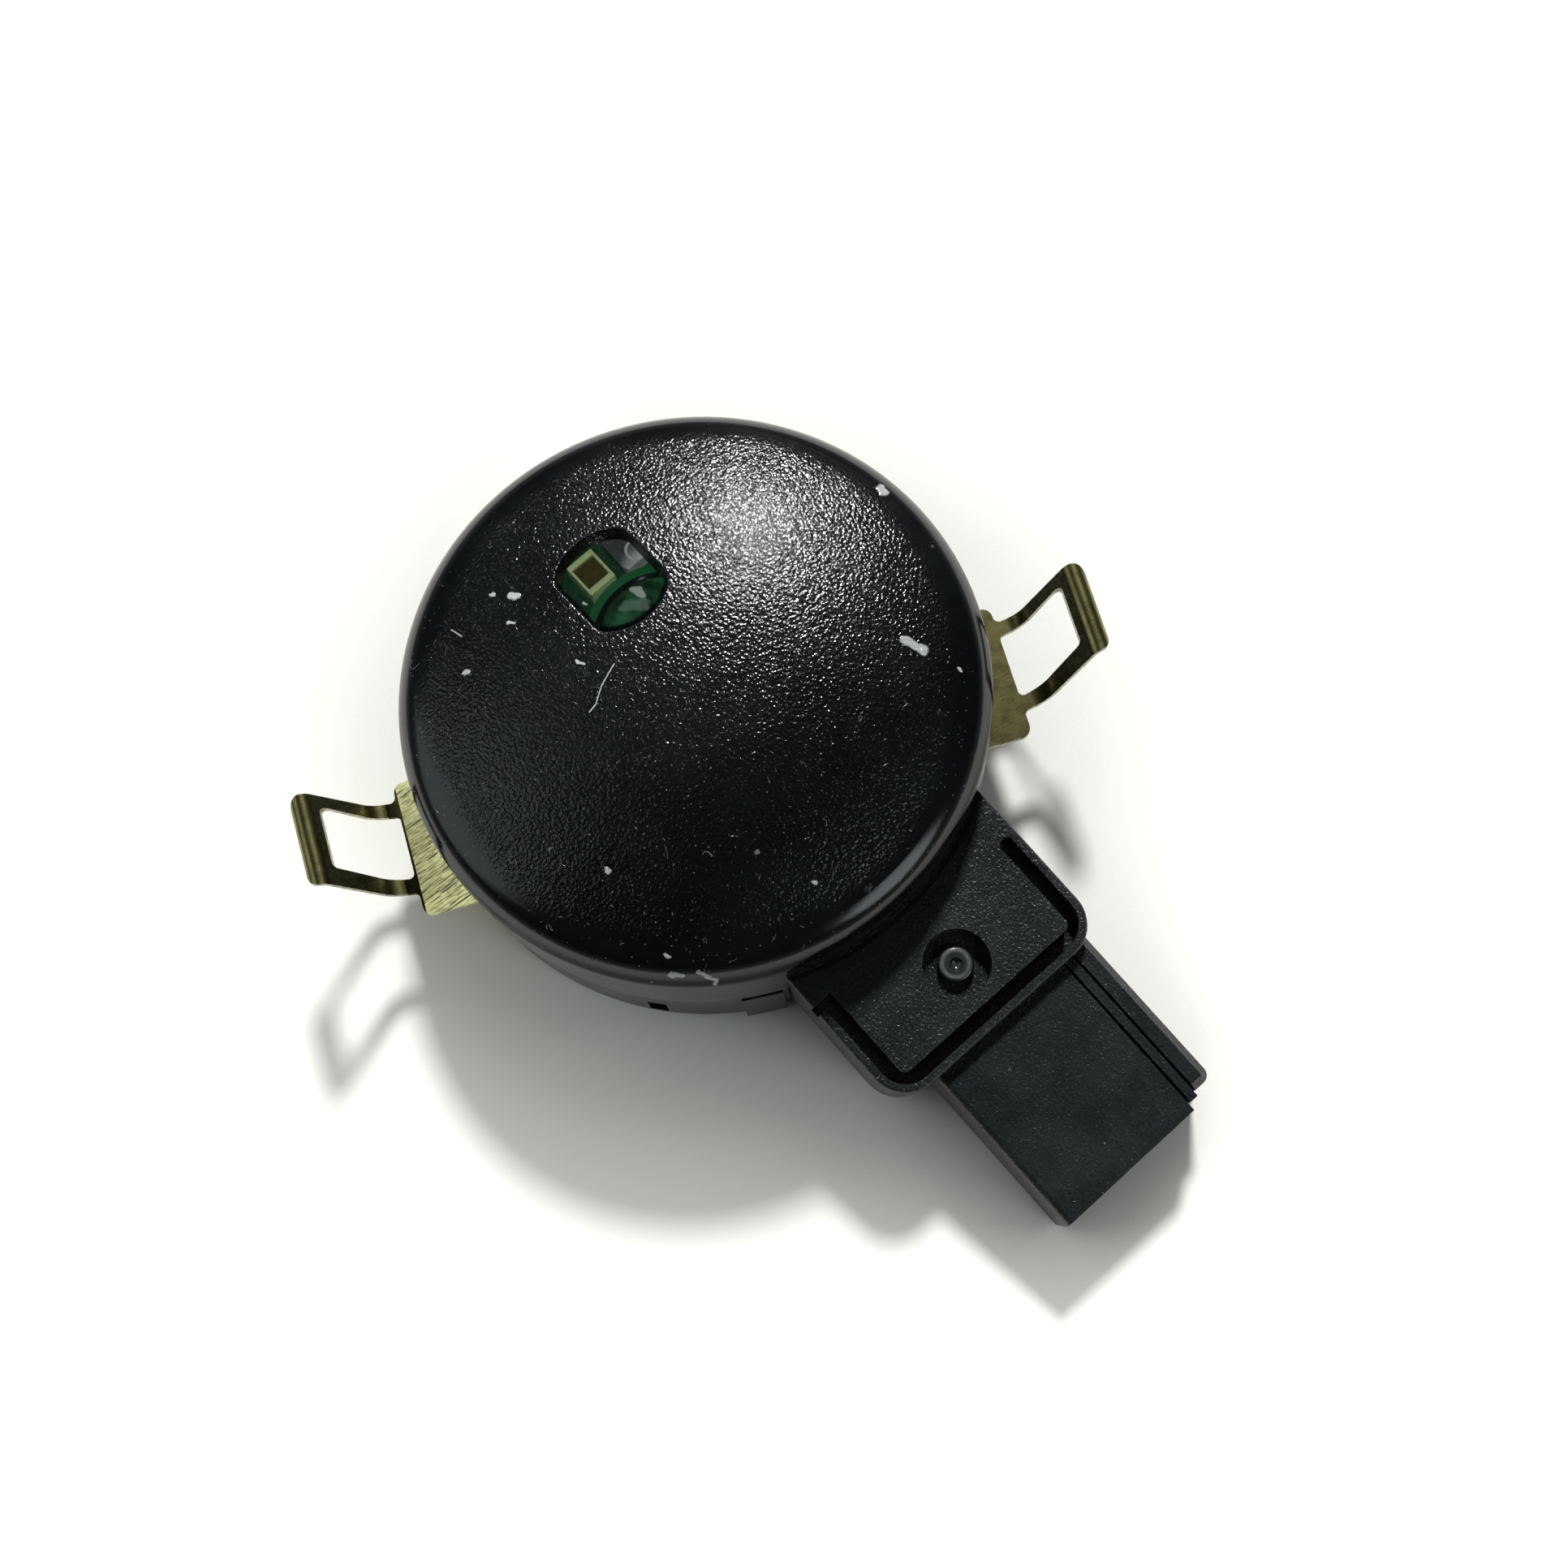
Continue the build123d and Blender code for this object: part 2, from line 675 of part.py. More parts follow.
with BuildPart() as optic_base:
    with BuildSketch(Plane.XY.offset(base_bottom)):
        Circle(base_radius)
    extrude(amount=joint_bottom - base_bottom)
    chamfer(optic_base.faces().sort_by(Axis.Z)[0].edges(), length=base_edge)
    with BuildSketch(Plane.XY.offset(joint_bottom)):
        Circle(step_radius)
    extrude(amount=joint_gap)
    with BuildSketch(neck_plane.offset(-neck_depth)):
        with Locations((neck_root, neck_y)):
            Rectangle(
                hollow_end - tongue_clearance - neck_root,
                hollow_width - 2 * tongue_clearance,
                align=(Align.MIN, Align.CENTER),
            )
    extrude(amount=tongue_thickness)
    with BuildSketch(Plane.XY.offset(base_bottom)):
        for lug_angle in lug_angles:
            with Locations(Location((0, 0, 0), lug_angle)):
                with Locations((step_radius, 0)):
                    Rectangle(
                        base_radius - step_radius + lug_proud,
                        lug_width,
                        align=(Align.MIN, Align.CENTER),
                    )
    extrude(amount=lug_height)

    # Upper space, then the light channels standing on its floor
    with BuildSketch(Plane.XY.offset(floor_top)):
        Circle(base_bore)
    extrude(amount=joint_top - floor_top, mode=Mode.SUBTRACT)
    with BuildSketch(Plane.XY.offset(floor_top)):
        with PolarLocations(emitter_ring_radius, emitter_count, start_angle=emitter_start_angle):
            Circle(channel_radius + channel_wall)
        with PolarLocations(receiver_ring_radius, receiver_count, start_angle=receiver_start_angle):
            Circle(channel_radius + channel_wall)
    extrude(amount=channel_top - floor_top)
    with BuildSketch(Plane.XY.offset(lens_top)):
        with PolarLocations(emitter_ring_radius, emitter_count, start_angle=emitter_start_angle):
            Circle(channel_radius)
        with PolarLocations(receiver_ring_radius, receiver_count, start_angle=receiver_start_angle):
            Circle(channel_radius)
    extrude(amount=channel_top - lens_top, mode=Mode.SUBTRACT)
    with BuildSketch(Plane.XY.offset(base_bottom)):
        Circle(lens_radius + lens_clearance)
    extrude(amount=lens_pocket, mode=Mode.SUBTRACT)

    # Passage for the terminals through the rim
    with BuildSketch(Plane.XY.offset(passage_floor)):
        with Locations((base_bore - base_wall, connector_y)):
            Rectangle(3 * base_wall, passage_width, align=(Align.MIN, Align.CENTER))
    extrude(amount=joint_top - passage_floor, mode=Mode.SUBTRACT)

    # Snap notches in the outer face, over a thin lip
    with BuildSketch(Plane.XY.offset(notch_top)):
        for notch_angle in notch_angles:
            with Locations(Location((0, 0, 0), notch_angle)):
                with Locations((base_radius - notch_depth, 0)):
                    Rectangle(base_wall, notch_width, align=(Align.MIN, Align.CENTER))
    extrude(amount=base_bottom + notch_lip - notch_top, mode=Mode.SUBTRACT)

    # Pockets and pegs for the two spring clips
    for side_sign in (1, -1):
        with BuildSketch(clip_above.offset(joint_bottom)):
            with Locations((side_sign * (clip_tail - clip_pocket_clearance + base_radius / 2), 0)):
                Rectangle(base_radius, clip_root_width + 2 * clip_pocket_clearance)
        extrude(amount=joint_gap, mode=Mode.SUBTRACT)
        with BuildSketch(clip_above.offset(joint_bottom)):
            with Locations((side_sign * clip_hole_u, 0)):
                Circle(clip_hole_radius - clip_peg_clearance)
        extrude(amount=clip_peg_height)

optic_base.part.label = "optic_base"
export_step(optic_base.part, "parts/optic_base.step")


# Lens plate with a collimating bump for each light channel

with BuildPart() as optic_lens:
    with BuildSketch(Plane.XY.offset(lens_bottom)):
        Circle(lens_radius)
    extrude(amount=lens_thickness)
    chamfer(optic_lens.faces().sort_by(Axis.Z)[0].edges(), length=lens_clearance)
    with Locations(Plane.XY.offset(lens_top)):
        with PolarLocations(emitter_ring_radius, emitter_count, start_angle=emitter_start_angle):
            Sphere(bump_radius, arc_size1=0, arc_size2=90, align=(Align.CENTER, Align.CENTER, Align.MIN))
        with PolarLocations(receiver_ring_radius, receiver_count, start_angle=receiver_start_angle):
            Sphere(bump_radius, arc_size1=0, arc_size2=90, align=(Align.CENTER, Align.CENTER, Align.MIN))

optic_lens.part.label = "optic_lens"
export_step(optic_lens.part, "parts/optic_lens.step")


# Soft coupling pad against the glass

with BuildPart() as coupling_pad:
    with BuildSketch(Plane.XY):
        Circle(pad_radius)
    extrude(amount=lens_bottom)
    chamfer(coupling_pad.faces().sort_by(Axis.Z)[0].edges(), length=pad_edge)

coupling_pad.part.label = "coupling_pad"
export_step(coupling_pad.part, "parts/coupling_pad.step")


# Circuit board with holes for the pegs and the terminals

with BuildPart() as circuit_board:
    with BuildSketch(Plane.XY.offset(board_bottom)):
        Circle(board_radius)
        with PolarLocations(peg_ring_radius, 2, start_angle=peg_angle):
            Circle(peg_radius + peg_clearance, mode=Mode.SUBTRACT)
        for pin_y in pins_y:
            with Locations((pin_board_x, pin_y)):
                Circle(pin_size / sqrt(2) + pin_hole_clearance, mode=Mode.SUBTRACT)
    extrude(amount=board_thickness)

circuit_board.part.label = "circuit_board"
export_step(circuit_board.part, "parts/circuit_board.step")


# Infrared emitters and rain receivers under the board

emitter_places = PolarLocations(emitter_ring_radius, emitter_count, start_angle=emitter_start_angle)

for number, place in enumerate(emitter_places.locations, start=1):
    with BuildPart() as emitter:
        with BuildSketch(Plane.XY.offset(board_bottom)):
            with Locations(place):
                Rectangle(emitter_length, emitter_width)
        extrude(amount=-emitter_height)
        with Locations((place.position.X, place.position.Y, board_bottom - emitter_height)):
            Sphere(emitter_dome, arc_size1=-90, arc_size2=0, align=(Align.CENTER, Align.CENTER, Align.MAX))

    emitter.part.label = f"infrared_emitter_{number}"
    export_step(emitter.part, f"parts/infrared_emitter_{number}.step")

receiver_places = PolarLocations(receiver_ring_radius, receiver_count, start_angle=receiver_start_angle)

for number, place in enumerate(receiver_places.locations, start=1):
    with BuildPart() as receiver:
        with BuildSketch(Plane.XY.offset(board_bottom)):
            with Locations(place):
                Rectangle(receiver_length, receiver_width)
        extrude(amount=-receiver_height)
        with BuildSketch(Plane.XY.offset(board_bottom - receiver_height)):
            with Locations(place):
                Rectangle(receiver_die, receiver_die)
        extrude(amount=die_depth, mode=Mode.SUBTRACT)

    receiver.part.label = f"rain_receiver_{number}"
    export_step(receiver.part, f"parts/rain_receiver_{number}.step")


# Ambient light diode: a square package with a sunken die

with BuildPart() as ambient_diode:
    with BuildSketch(Plane.XY.offset(board_top)):
        with Locations((ambient_x, ambient_y)):
            Rectangle(ambient_length, ambient_width)
    extrude(amount=ambient_height)
    with BuildSketch(Plane.XY.offset(board_top + ambient_height)):
        with Locations((ambient_x, ambient_y)):
            Rectangle(ambient_die, ambient_die)
    extrude(amount=-die_depth, mode=Mode.SUBTRACT)

ambient_diode.part.label = "ambient_diode"
export_step(ambient_diode.part, "parts/ambient_diode.step")


# Infrared light diode in a clear package

with BuildPart() as infrared_diode:
    with BuildSketch(Plane.XY.offset(board_top)):
        with Locations((infrared_x, infrared_y)):
            RectangleRounded(infrared_size, infrared_size, infrared_corner)
    extrude(amount=infrared_height)

infrared_diode.part.label = "infrared_diode"
export_step(infrared_diode.part, "parts/infrared_diode.step")


# Clear dome lens with a flange and a groove round the dome

with BuildPart() as dome_lens:
    with BuildSketch(Plane(origin=(dome_x, dome_y, board_top), x_dir=(1, 0, 0), z_dir=(0, -1, 0))):
        with BuildLine():
            groove_floor = dome_flange_height - dome_groove_depth
            Polyline(
                (0, dome_flange_height + dome_rise),
                (0, 0),
                (dome_flange_radius, 0),
                (dome_flange_radius, dome_flange_height),
                (dome_radius + dome_groove, dome_flange_height),
                (dome_radius + dome_groove, groove_floor),
                (dome_radius, groove_floor),
                (dome_radius, dome_flange_height),
            )
            TangentArc(
                (0, dome_flange_height + dome_rise),
                (dome_radius, dome_flange_height),
                tangent=(1, 0),
            )
        make_face()
    revolve(axis=Axis((dome_x, dome_y, 0), (0, 0, 1)))

dome_lens.part.label = "dome_lens"
export_step(dome_lens.part, "parts/dome_lens.step")


# Microcontroller with leads on four sides

with BuildPart() as microcontroller:
    with BuildSketch(Plane.XY.offset(board_top)):
        with Locations((chip_x, chip_y)):
            Rectangle(chip_size, chip_size)
    extrude(amount=chip_height)
    with BuildSketch(Plane.XY.offset(board_top)):
        with Locations((chip_x, chip_y)):
            with PolarLocations(chip_size / 2, 4):
                with GridLocations(0, chip_pitch, 1, chip_leads):
                    Rectangle(2 * lead_reach, lead_width)
    extrude(amount=lead_thickness)

microcontroller.part.label = "microcontroller"
export_step(microcontroller.part, "parts/microcontroller.step")


# Bus transceiver with two rows of leads

with BuildPart() as bus_transceiver:
    with BuildSketch(Plane.XY.offset(board_top)):
        with Locations((transceiver_x, transceiver_y)):
            Rectangle(transceiver_length, transceiver_width)
    extrude(amount=transceiver_height)
    with BuildSketch(Plane.XY.offset(board_top)):
        with Locations((transceiver_x, transceiver_y)):
            with GridLocations(transceiver_pitch, transceiver_width, transceiver_leads, 2):
                Rectangle(lead_width, 2 * lead_reach)
    extrude(amount=lead_thickness)

bus_transceiver.part.label = "bus_transceiver"
export_step(bus_transceiver.part, "parts/bus_transceiver.step")


# Voltage regulator with two leads and one opposite

with BuildPart() as voltage_regulator:
    with BuildSketch(Plane.XY.offset(board_top)):
        with Locations((regulator_x, regulator_y)):
            Rectangle(regulator_length, regulator_width)
    extrude(amount=regulator_height)
    with BuildSketch(Plane.XY.offset(board_top)):
        with Locations((regulator_x, regulator_y - regulator_width / 2)):
            with GridLocations(regulator_pitch, 0, 2, 1):
                Rectangle(lead_width, 2 * lead_reach)
        with Locations((regulator_x, regulator_y + regulator_width / 2)):
            Rectangle(lead_width, 2 * lead_reach)
    extrude(amount=lead_thickness)

voltage_regulator.part.label = "voltage_regulator"
export_step(voltage_regulator.part, "parts/voltage_regulator.step")


# Clock crystal can

with BuildPart() as clock_crystal:
    with BuildSketch(Plane.XY.offset(board_top)):
        with Locations((crystal_x, crystal_y)):
            RectangleRounded(crystal_length, crystal_width, crystal_corner)
    extrude(amount=crystal_height)

clock_crystal.part.label = "clock_crystal"
export_step(clock_crystal.part, "parts/clock_crystal.step")


# Rows of like capacitors and resistors

with BuildPart() as capacitors:
    with BuildSketch(Plane.XY.offset(board_top)):
        with Locations((capacitor_x, capacitor_y)):
            with GridLocations(small_part_pitch, 0, small_part_count, 1):
                Rectangle(capacitor_length, capacitor_width)
    extrude(amount=capacitor_height)

capacitors.part.label = "capacitors"
export_step(capacitors.part, "parts/capacitors.step")

with BuildPart() as resistors:
    with BuildSketch(Plane.XY.offset(board_top)):
        with Locations((resistor_x, resistor_y)):
            with GridLocations(small_part_pitch, 0, small_part_count, 1):
                Rectangle(resistor_length, resistor_width)
    extrude(amount=resistor_height)

resistors.part.label = "resistors"
export_step(resistors.part, "parts/resistors.step")
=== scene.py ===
"""Looks of the rain and light sensor, which lies on its glass side on a pale floor.

Lengths are millimetres times MM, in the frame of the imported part: +Z is the cabin side,
+X runs out along the neck and the connector.
"""

from math import cos, radians, sin

import bpy
from mathutils import Matrix, Vector

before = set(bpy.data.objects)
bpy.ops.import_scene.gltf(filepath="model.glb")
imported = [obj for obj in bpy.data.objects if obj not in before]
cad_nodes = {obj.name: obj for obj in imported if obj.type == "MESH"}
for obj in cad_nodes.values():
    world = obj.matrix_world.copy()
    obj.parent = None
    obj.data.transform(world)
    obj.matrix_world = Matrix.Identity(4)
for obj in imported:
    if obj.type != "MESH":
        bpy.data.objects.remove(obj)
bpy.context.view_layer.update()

MM = 0.001

# Camera, found by fitting the cap's round outline in the photograph
CAMERA_PLACE = Vector((47.658, -21.731, 165.738)) * MM
CAMERA_RIGHT = Vector((0.66189, 0.7473, -0.05872))
CAMERA_FORWARD = Vector((-0.24171, 0.13862, -0.9604))
CAMERA_SENSOR = 36.0
CAMERA_FOCUS_SHARE = 2800 / 1932
CAMERA_CLIP_START = 0.01

# Light: angles are azimuth from +X and height over the floor, in degrees. Distances are metres.
KEY_FROM = (133.0, 42.5)
KEY_STRENGTH = 3.9
KEY_WIDTH = 7.5
SKY_COLOUR = (0.92, 1.0, 1.03)
SKY_LOW = 0.27
SKY_HIGH = 0.012
SKY_HIGH_FROM = 0.34
SOFTBOXES = [
    {"from": (-127.0, 40.0), "half_width": 21.0, "strength": 1.0},
    {"from": (14.0, 32.0), "half_width": 17.0, "strength": 2.6},
]
SOFTBOX_CORE = 0.7
SPOT_FROM = (-22.0, 66.0)
SPOT_FAR = 0.5
SPOT_POWER = 26.0
SPOT_CONE = 1.05
SPOT_BLEND = 0.4
SPOT_RADIUS = 0.01
FLOOR_COLOUR = (0.8, 0.8, 0.75)
GLOW_COLOUR = (1.0, 0.99, 0.92)
FLOOR_GLOW = 0.52
FLOOR_GLOW_REACH = 0.045
FLOOR_SHADE_POWER = 4.6
FLOOR_SIZE = 4.0

# Places and sizes on the part are millimetres in its frame, angles are degrees from +X, and
# grain, haze, slope and stretch are shares. A pair named EDGE, SPAN, BORDER or END is a soft
# border: what it marks is 0 at its first number and full at its second.
CAP_GRAIN_EDGE = (19.3, 17.9)
CAP_RIM_EDGE = (18.6, 19.4)
CAP_LOW_ANGLE = -60.0
CAP_LOW_SPAN = (-12.0, 14.0)
WINDOW_HOLE_EDGE = (15.2, 14.8)
WINDOW_PLACE = (-8.6, 0.44, 17.0)
WINDOW_HAZE = 0.004

WALL_EDGE = (21.2, 21.4)
WALL_ROUGHNESS = 0.14
WALL_GRAIN = 0.04
CONNECTOR_EDGE = (30.9, 31.5)
CONNECTOR_GRAIN = 0.8

STAKE_PLACE = (26.1, 1.1)
STAKE_EDGE = (1.4, 1.3)
STAKE_RING = 0.95

CLIP_ANGLE = 64.9
LEFT_CLIP_BORDER = (2.0, -2.0)
LEFT_PLATE_END = (-24.1, -23.1)
SAG_ANGLE = 250.0
SAG_SLOPE = 0.36
STREAK_ANGLE = 84.0
STREAK_STRETCH = 5.0
CREASE_DEPTH = 0.2

# The parts seen through the window
DIODE_PLACE = (-12.2, 0.57)
DIE_HALF_WIDTH = 0.95
FROST_ANGLE = 20.0
FROST_SPAN = (-10.0, -8.2)
TRACE_ANGLE = 45.0
TRACE_PITCH = 0.9
DOME_PLACE = (-5.0, 1.25)
DOME_FLANGE_EDGE = (5.08, 5.15)
DOME_GROOVE_SHADE_EDGE = (4.66, 4.74)
DOME_INSIDE_EDGE = (4.7, 4.6)

# Painted reflections seen through the window: each is a line from one end to the other with
# its width, and the reflection ring is given by its centre, its radius and how far it fades out on each
# side
DOME_GLINTS = [
    ((-9.3, 2.0), (-8.95, 2.4), 0.5),
    ((-8.95, 2.4), (-8.25, 2.15), 0.5),
    ((-9.3, 2.0), (-8.3, 2.1), 0.45),
]
DOME_TEAR_REFLECTION = ((-8.5, 0.8), (-7.6, 1.7), 1.2)
SOLDER_GLINTS = [
    ((-13.3, -1.75), (-13.0, -1.65), 0.3),
    ((-11.35, -1.15), (-11.15, -1.05), 0.28),
    ((-11.2, -1.85), (-11.1, -1.7), 0.34),
]
BLOCK_REFLECTION_RING = ((-11.35, 4.15), 0.75, 0.16)

# Linear colours
DUST_COLOUR = (0.42, 0.44, 0.42)
# Painted shade on the wall of the window's hole
HOLE_PAINTED_SHADE = (0.0004, 0.0005, 0.0005)
HOUSING_BLACK = (0.0095, 0.0125, 0.0125)
BASE_BLACK = (0.006, 0.007, 0.007)
CARRIER_BLACK = (0.003, 0.0035, 0.0035)
# Painted highlight ring on the stake's button
STAKE_RING_HIGHLIGHT = (0.16, 0.17, 0.17)
# The left plate's colour: partly rubbing, partly painted light
RUBBED_AND_LIT_STEEL = (1.0, 0.93, 0.46)
# Painted sheen on the bends
BEND_SHEEN_STEEL = (0.95, 0.93, 0.8)
# Worn edges, partly wear and partly a painted glint
WEAR_AND_GLINT_STEEL = (0.8, 0.79, 0.72)
COPPER_UNDER_MASK = (0.008, 0.055, 0.025)
# Painted glints on the solder
SOLDER_GLINT_COLOUR = (0.85, 0.88, 0.85)
FLANGE_GREEN = (0.02, 0.16, 0.06)
# Painted shade in the dome's groove
GROOVE_PAINTED_SHADE = (0.002, 0.006, 0.004)
# Painted glints and a painted tear-shaped reflection in the dome
GLINT_COLOUR = (0.8, 0.9, 0.84)
TEAR_REFLECTION_COLOUR = (0.5, 0.68, 0.58)


def add_node(tree, kind, values=None, **settings):
    """Adds a shader node. A value that is a socket is linked, any other is set."""
    made = tree.nodes.new(kind)
    for name, value in settings.items():
        setattr(made, name, value)
    for name, value in (values or {}).items():
        if isinstance(value, bpy.types.NodeSocket):
            tree.links.new(value, made.inputs[name])
        else:
            made.inputs[name].default_value = value
    return made


def math(tree, operation, first, second=0.5):
    """Number operation. Operations with one input leave the second value unused."""
    return add_node(tree, "ShaderNodeMath", {0: first, 1: second}, operation=operation).outputs[0]


def product(tree, *shares):
    result = shares[0]
    for share in shares[1:]:
        result = math(tree, "MULTIPLY", result, share)
    return result


def largest(tree, *shares):
    result = shares[0]
    for share in shares[1:]:
        result = math(tree, "MAXIMUM", result, share)
    return result


def vector_math(tree, operation, first, second=None):
    """Vector operation. Its value output is returned for lengths and dot products."""
    values = {0: first}
    if second is not None:
        values[1] = second
    made = add_node(tree, "ShaderNodeVectorMath", values, operation=operation)
    return made.outputs["Value" if operation in {"LENGTH", "DOT_PRODUCT"} else "Vector"]


def scaled(tree, vector, share):
    """The vector times a number or a socket."""
    values = {0: vector, "Scale": share}
    return add_node(tree, "ShaderNodeVectorMath", values, operation="SCALE").outputs[0]


def empty_material(name):
    material = bpy.data.materials.new(name)
    material.use_nodes = True
    material.node_tree.nodes.clear()
    return material, material.node_tree


def finish_material(tree, surface):
    add_node(tree, "ShaderNodeOutputMaterial", {"Surface": surface})


def principled(tree, values):
    return add_node(tree, "ShaderNodeBsdfPrincipled", values).outputs[0]


def place(tree):
    """Position on the object, in metres, in the part's frame."""
    return add_node(tree, "ShaderNodeTexCoord").outputs["Object"]


def flat_place(tree, where):
    """The place with its height taken away."""
    return vector_math(tree, "MULTIPLY", where, (1, 1, 0))


def along(tree, where, degrees):
    """Distance in metres along a level direction."""
    direction = (cos(radians(degrees)), sin(radians(degrees)), 0)
    return vector_math(tree, "DOT_PRODUCT", where, direction)


def level_distance(tree, where, centre_mm):
    """Distance in metres from an upright axis."""
    offset = vector_math(tree, "SUBTRACT", flat_place(tree, where), Vector((*centre_mm, 0)) * MM)
    return vector_math(tree, "LENGTH", offset)


def upward_share(tree):
    """1 where the surface faces straight up, 0 on upright walls."""
    normal = add_node(tree, "ShaderNodeNewGeometry").outputs["Normal"]
    return add_node(tree, "ShaderNodeSeparateXYZ", {0: normal}).outputs["Z"]


def noise(tree, where, size_mm, detail=2.0, roughness=0.5):
    """Cloudy noise from 0 to 1, with features about size_mm across."""
    values = {"Vector": where, "Scale": 1 / (size_mm * MM), "Detail": detail, "Roughness": roughness}
    return add_node(tree, "ShaderNodeTexNoise", values).outputs["Fac"]


def ramp(tree, value, low, high, out_low=0.0, out_high=1.0):
    """Straight ramp from out_low at low to out_high at high, clamped."""
    values = {"Value": value, "From Min": low, "From Max": high, "To Min": out_low, "To Max": out_high}
    return add_node(tree, "ShaderNodeMapRange", values).outputs["Result"]


def ramp_mm(tree, length, low_mm, high_mm, out_low=0.0, out_high=1.0):
    """Ramp over a length in metres, with its ends in millimetres."""
    return ramp(tree, length, low_mm * MM, high_mm * MM, out_low, out_high)


def between(tree, share, at_none, at_full):
    """The first value where the share is 0, the second where it is 1."""
    return ramp(tree, share, 0.0, 1.0, at_none, at_full)


def ring_share(tree, radius, middle_mm, faint_mm, full_mm):
    """1 on a ring of the middle radius, and 0 from the faint distance beside it."""
    off_ring = math(tree, "ABSOLUTE", math(tree, "SUBTRACT", radius, middle_mm * MM))
    return ramp_mm(tree, off_ring, faint_mm, full_mm)


def mix_colour(tree, share, first, second):
    made = add_node(tree, "ShaderNodeMix", {"Factor": share}, data_type="RGBA")
    for socket, value in ((made.inputs[6], first), (made.inputs[7], second)):
        if isinstance(value, bpy.types.NodeSocket):
            tree.links.new(value, socket)
        else:
            socket.default_value = (*value, 1.0)
    return made.outputs[2]


def tint(colour, share):
    """The colour made darker or lighter."""
    return [part * share for part in colour]


def mix_shader(tree, share, first, second):
    return add_node(tree, "ShaderNodeMixShader", {0: share, 1: first, 2: second}).outputs[0]


def cloudy_body(tree, share, clear_colour, matte_colour):
    """Clear plastic that is matte by the share. The colours are sockets or four numbers."""
    clear = add_node(tree, "ShaderNodeBsdfTransparent", {"Color": clear_colour}).outputs[0]
    matte = add_node(tree, "ShaderNodeBsdfDiffuse", {"Color": matte_colour}).outputs[0]
    return mix_shader(tree, share, clear, matte)


def under_gloss(tree, body, roughness, normal, refraction=1.5):
    """The body under a glossy skin, which reflects by Fresnel."""
    values = {"Roughness": roughness, "Normal": normal}
    glossy = add_node(tree, "ShaderNodeBsdfGlossy", values).outputs[0]
    share = add_node(tree, "ShaderNodeFresnel", {"IOR": refraction, "Normal": normal}).outputs[0]
    return mix_shader(tree, share, body, glossy)


def bump(tree, height, depth_mm):
    values = {"Height": height, "Distance": depth_mm * MM, "Strength": 1.0}
    return add_node(tree, "ShaderNodeBump", values).outputs["Normal"]


def edge_wear(tree, where, width_mm, from_share=0.45):
    """1 on sharp edges, broken up by noise, and 0 away from them."""
    rounded = add_node(tree, "ShaderNodeBevel", {"Radius": width_mm * MM}, samples=4).outputs["Normal"]
    flat = add_node(tree, "ShaderNodeNewGeometry").outputs["Normal"]
    edge = ramp(tree, vector_math(tree, "DOT_PRODUCT", rounded, flat), 0.97, 0.8)
    broken = ramp(tree, noise(tree, where, 0.8, 3.0, 0.7), from_share, from_share + 0.15)
    return product(tree, edge, broken)


def specks(tree, where, spacing_mm, size_mm):
    """Scattered dots of dust, about size_mm across."""
    share = size_mm / spacing_mm
    values = {"Vector": where, "Scale": 1 / (spacing_mm * MM)}
    far = add_node(tree, "ShaderNodeTexVoronoi", values, feature="F1").outputs["Distance"]
    return ramp(tree, far, share / 2, share / 3)


def fibres(tree, where, size_mm, width, amount):
    """Fine curved hairs: thin level lines of one noise, kept where another is high."""
    off_middle = math(tree, "SUBTRACT", noise(tree, where, size_mm, 1.0), 0.5)
    line = ramp(tree, math(tree, "ABSOLUTE", off_middle), width, 0.0)
    far_off = vector_math(tree, "ADD", where, (0.03, 0.05, 0.02))
    kept = ramp(tree, noise(tree, far_off, size_mm * 0.5, 1.0), amount, amount + 0.04)
    return product(tree, line, kept)


def stroke(tree, flat, start, end, width_mm):
    """A mark along a short line, seen from above."""
    first = Vector((*start, 0)) * MM
    run = Vector((*end, 0)) * MM - first
    offset = vector_math(tree, "SUBTRACT", flat, first)
    share = product(tree, vector_math(tree, "DOT_PRODUCT", offset, run), 1 / run.length_squared)
    share = math(tree, "MINIMUM", math(tree, "MAXIMUM", share, 0.0), 1.0)
    far = vector_math(tree, "LENGTH", vector_math(tree, "SUBTRACT", offset, scaled(tree, run, share)))
    return ramp_mm(tree, far, width_mm / 2, width_mm / 3)


def wobble(tree, where, size_mm, reach_mm):
    """The place, shifted a little by noise, for ragged outlines."""
    values = {"Vector": where, "Scale": 1 / (size_mm * MM), "Detail": 2.0}
    shift = add_node(tree, "ShaderNodeTexNoise", values).outputs["Color"]
    shift = vector_math(tree, "SUBTRACT", shift, (0.5, 0.5, 0.5))
    return vector_math(tree, "ADD", where, scaled(tree, shift, reach_mm * MM * 2))


def dress(names, material):
    """Gives the CAD nodes this material."""
    for name in names:
        data = cad_nodes[name].data
        data.materials.clear()
        data.materials.append(material)


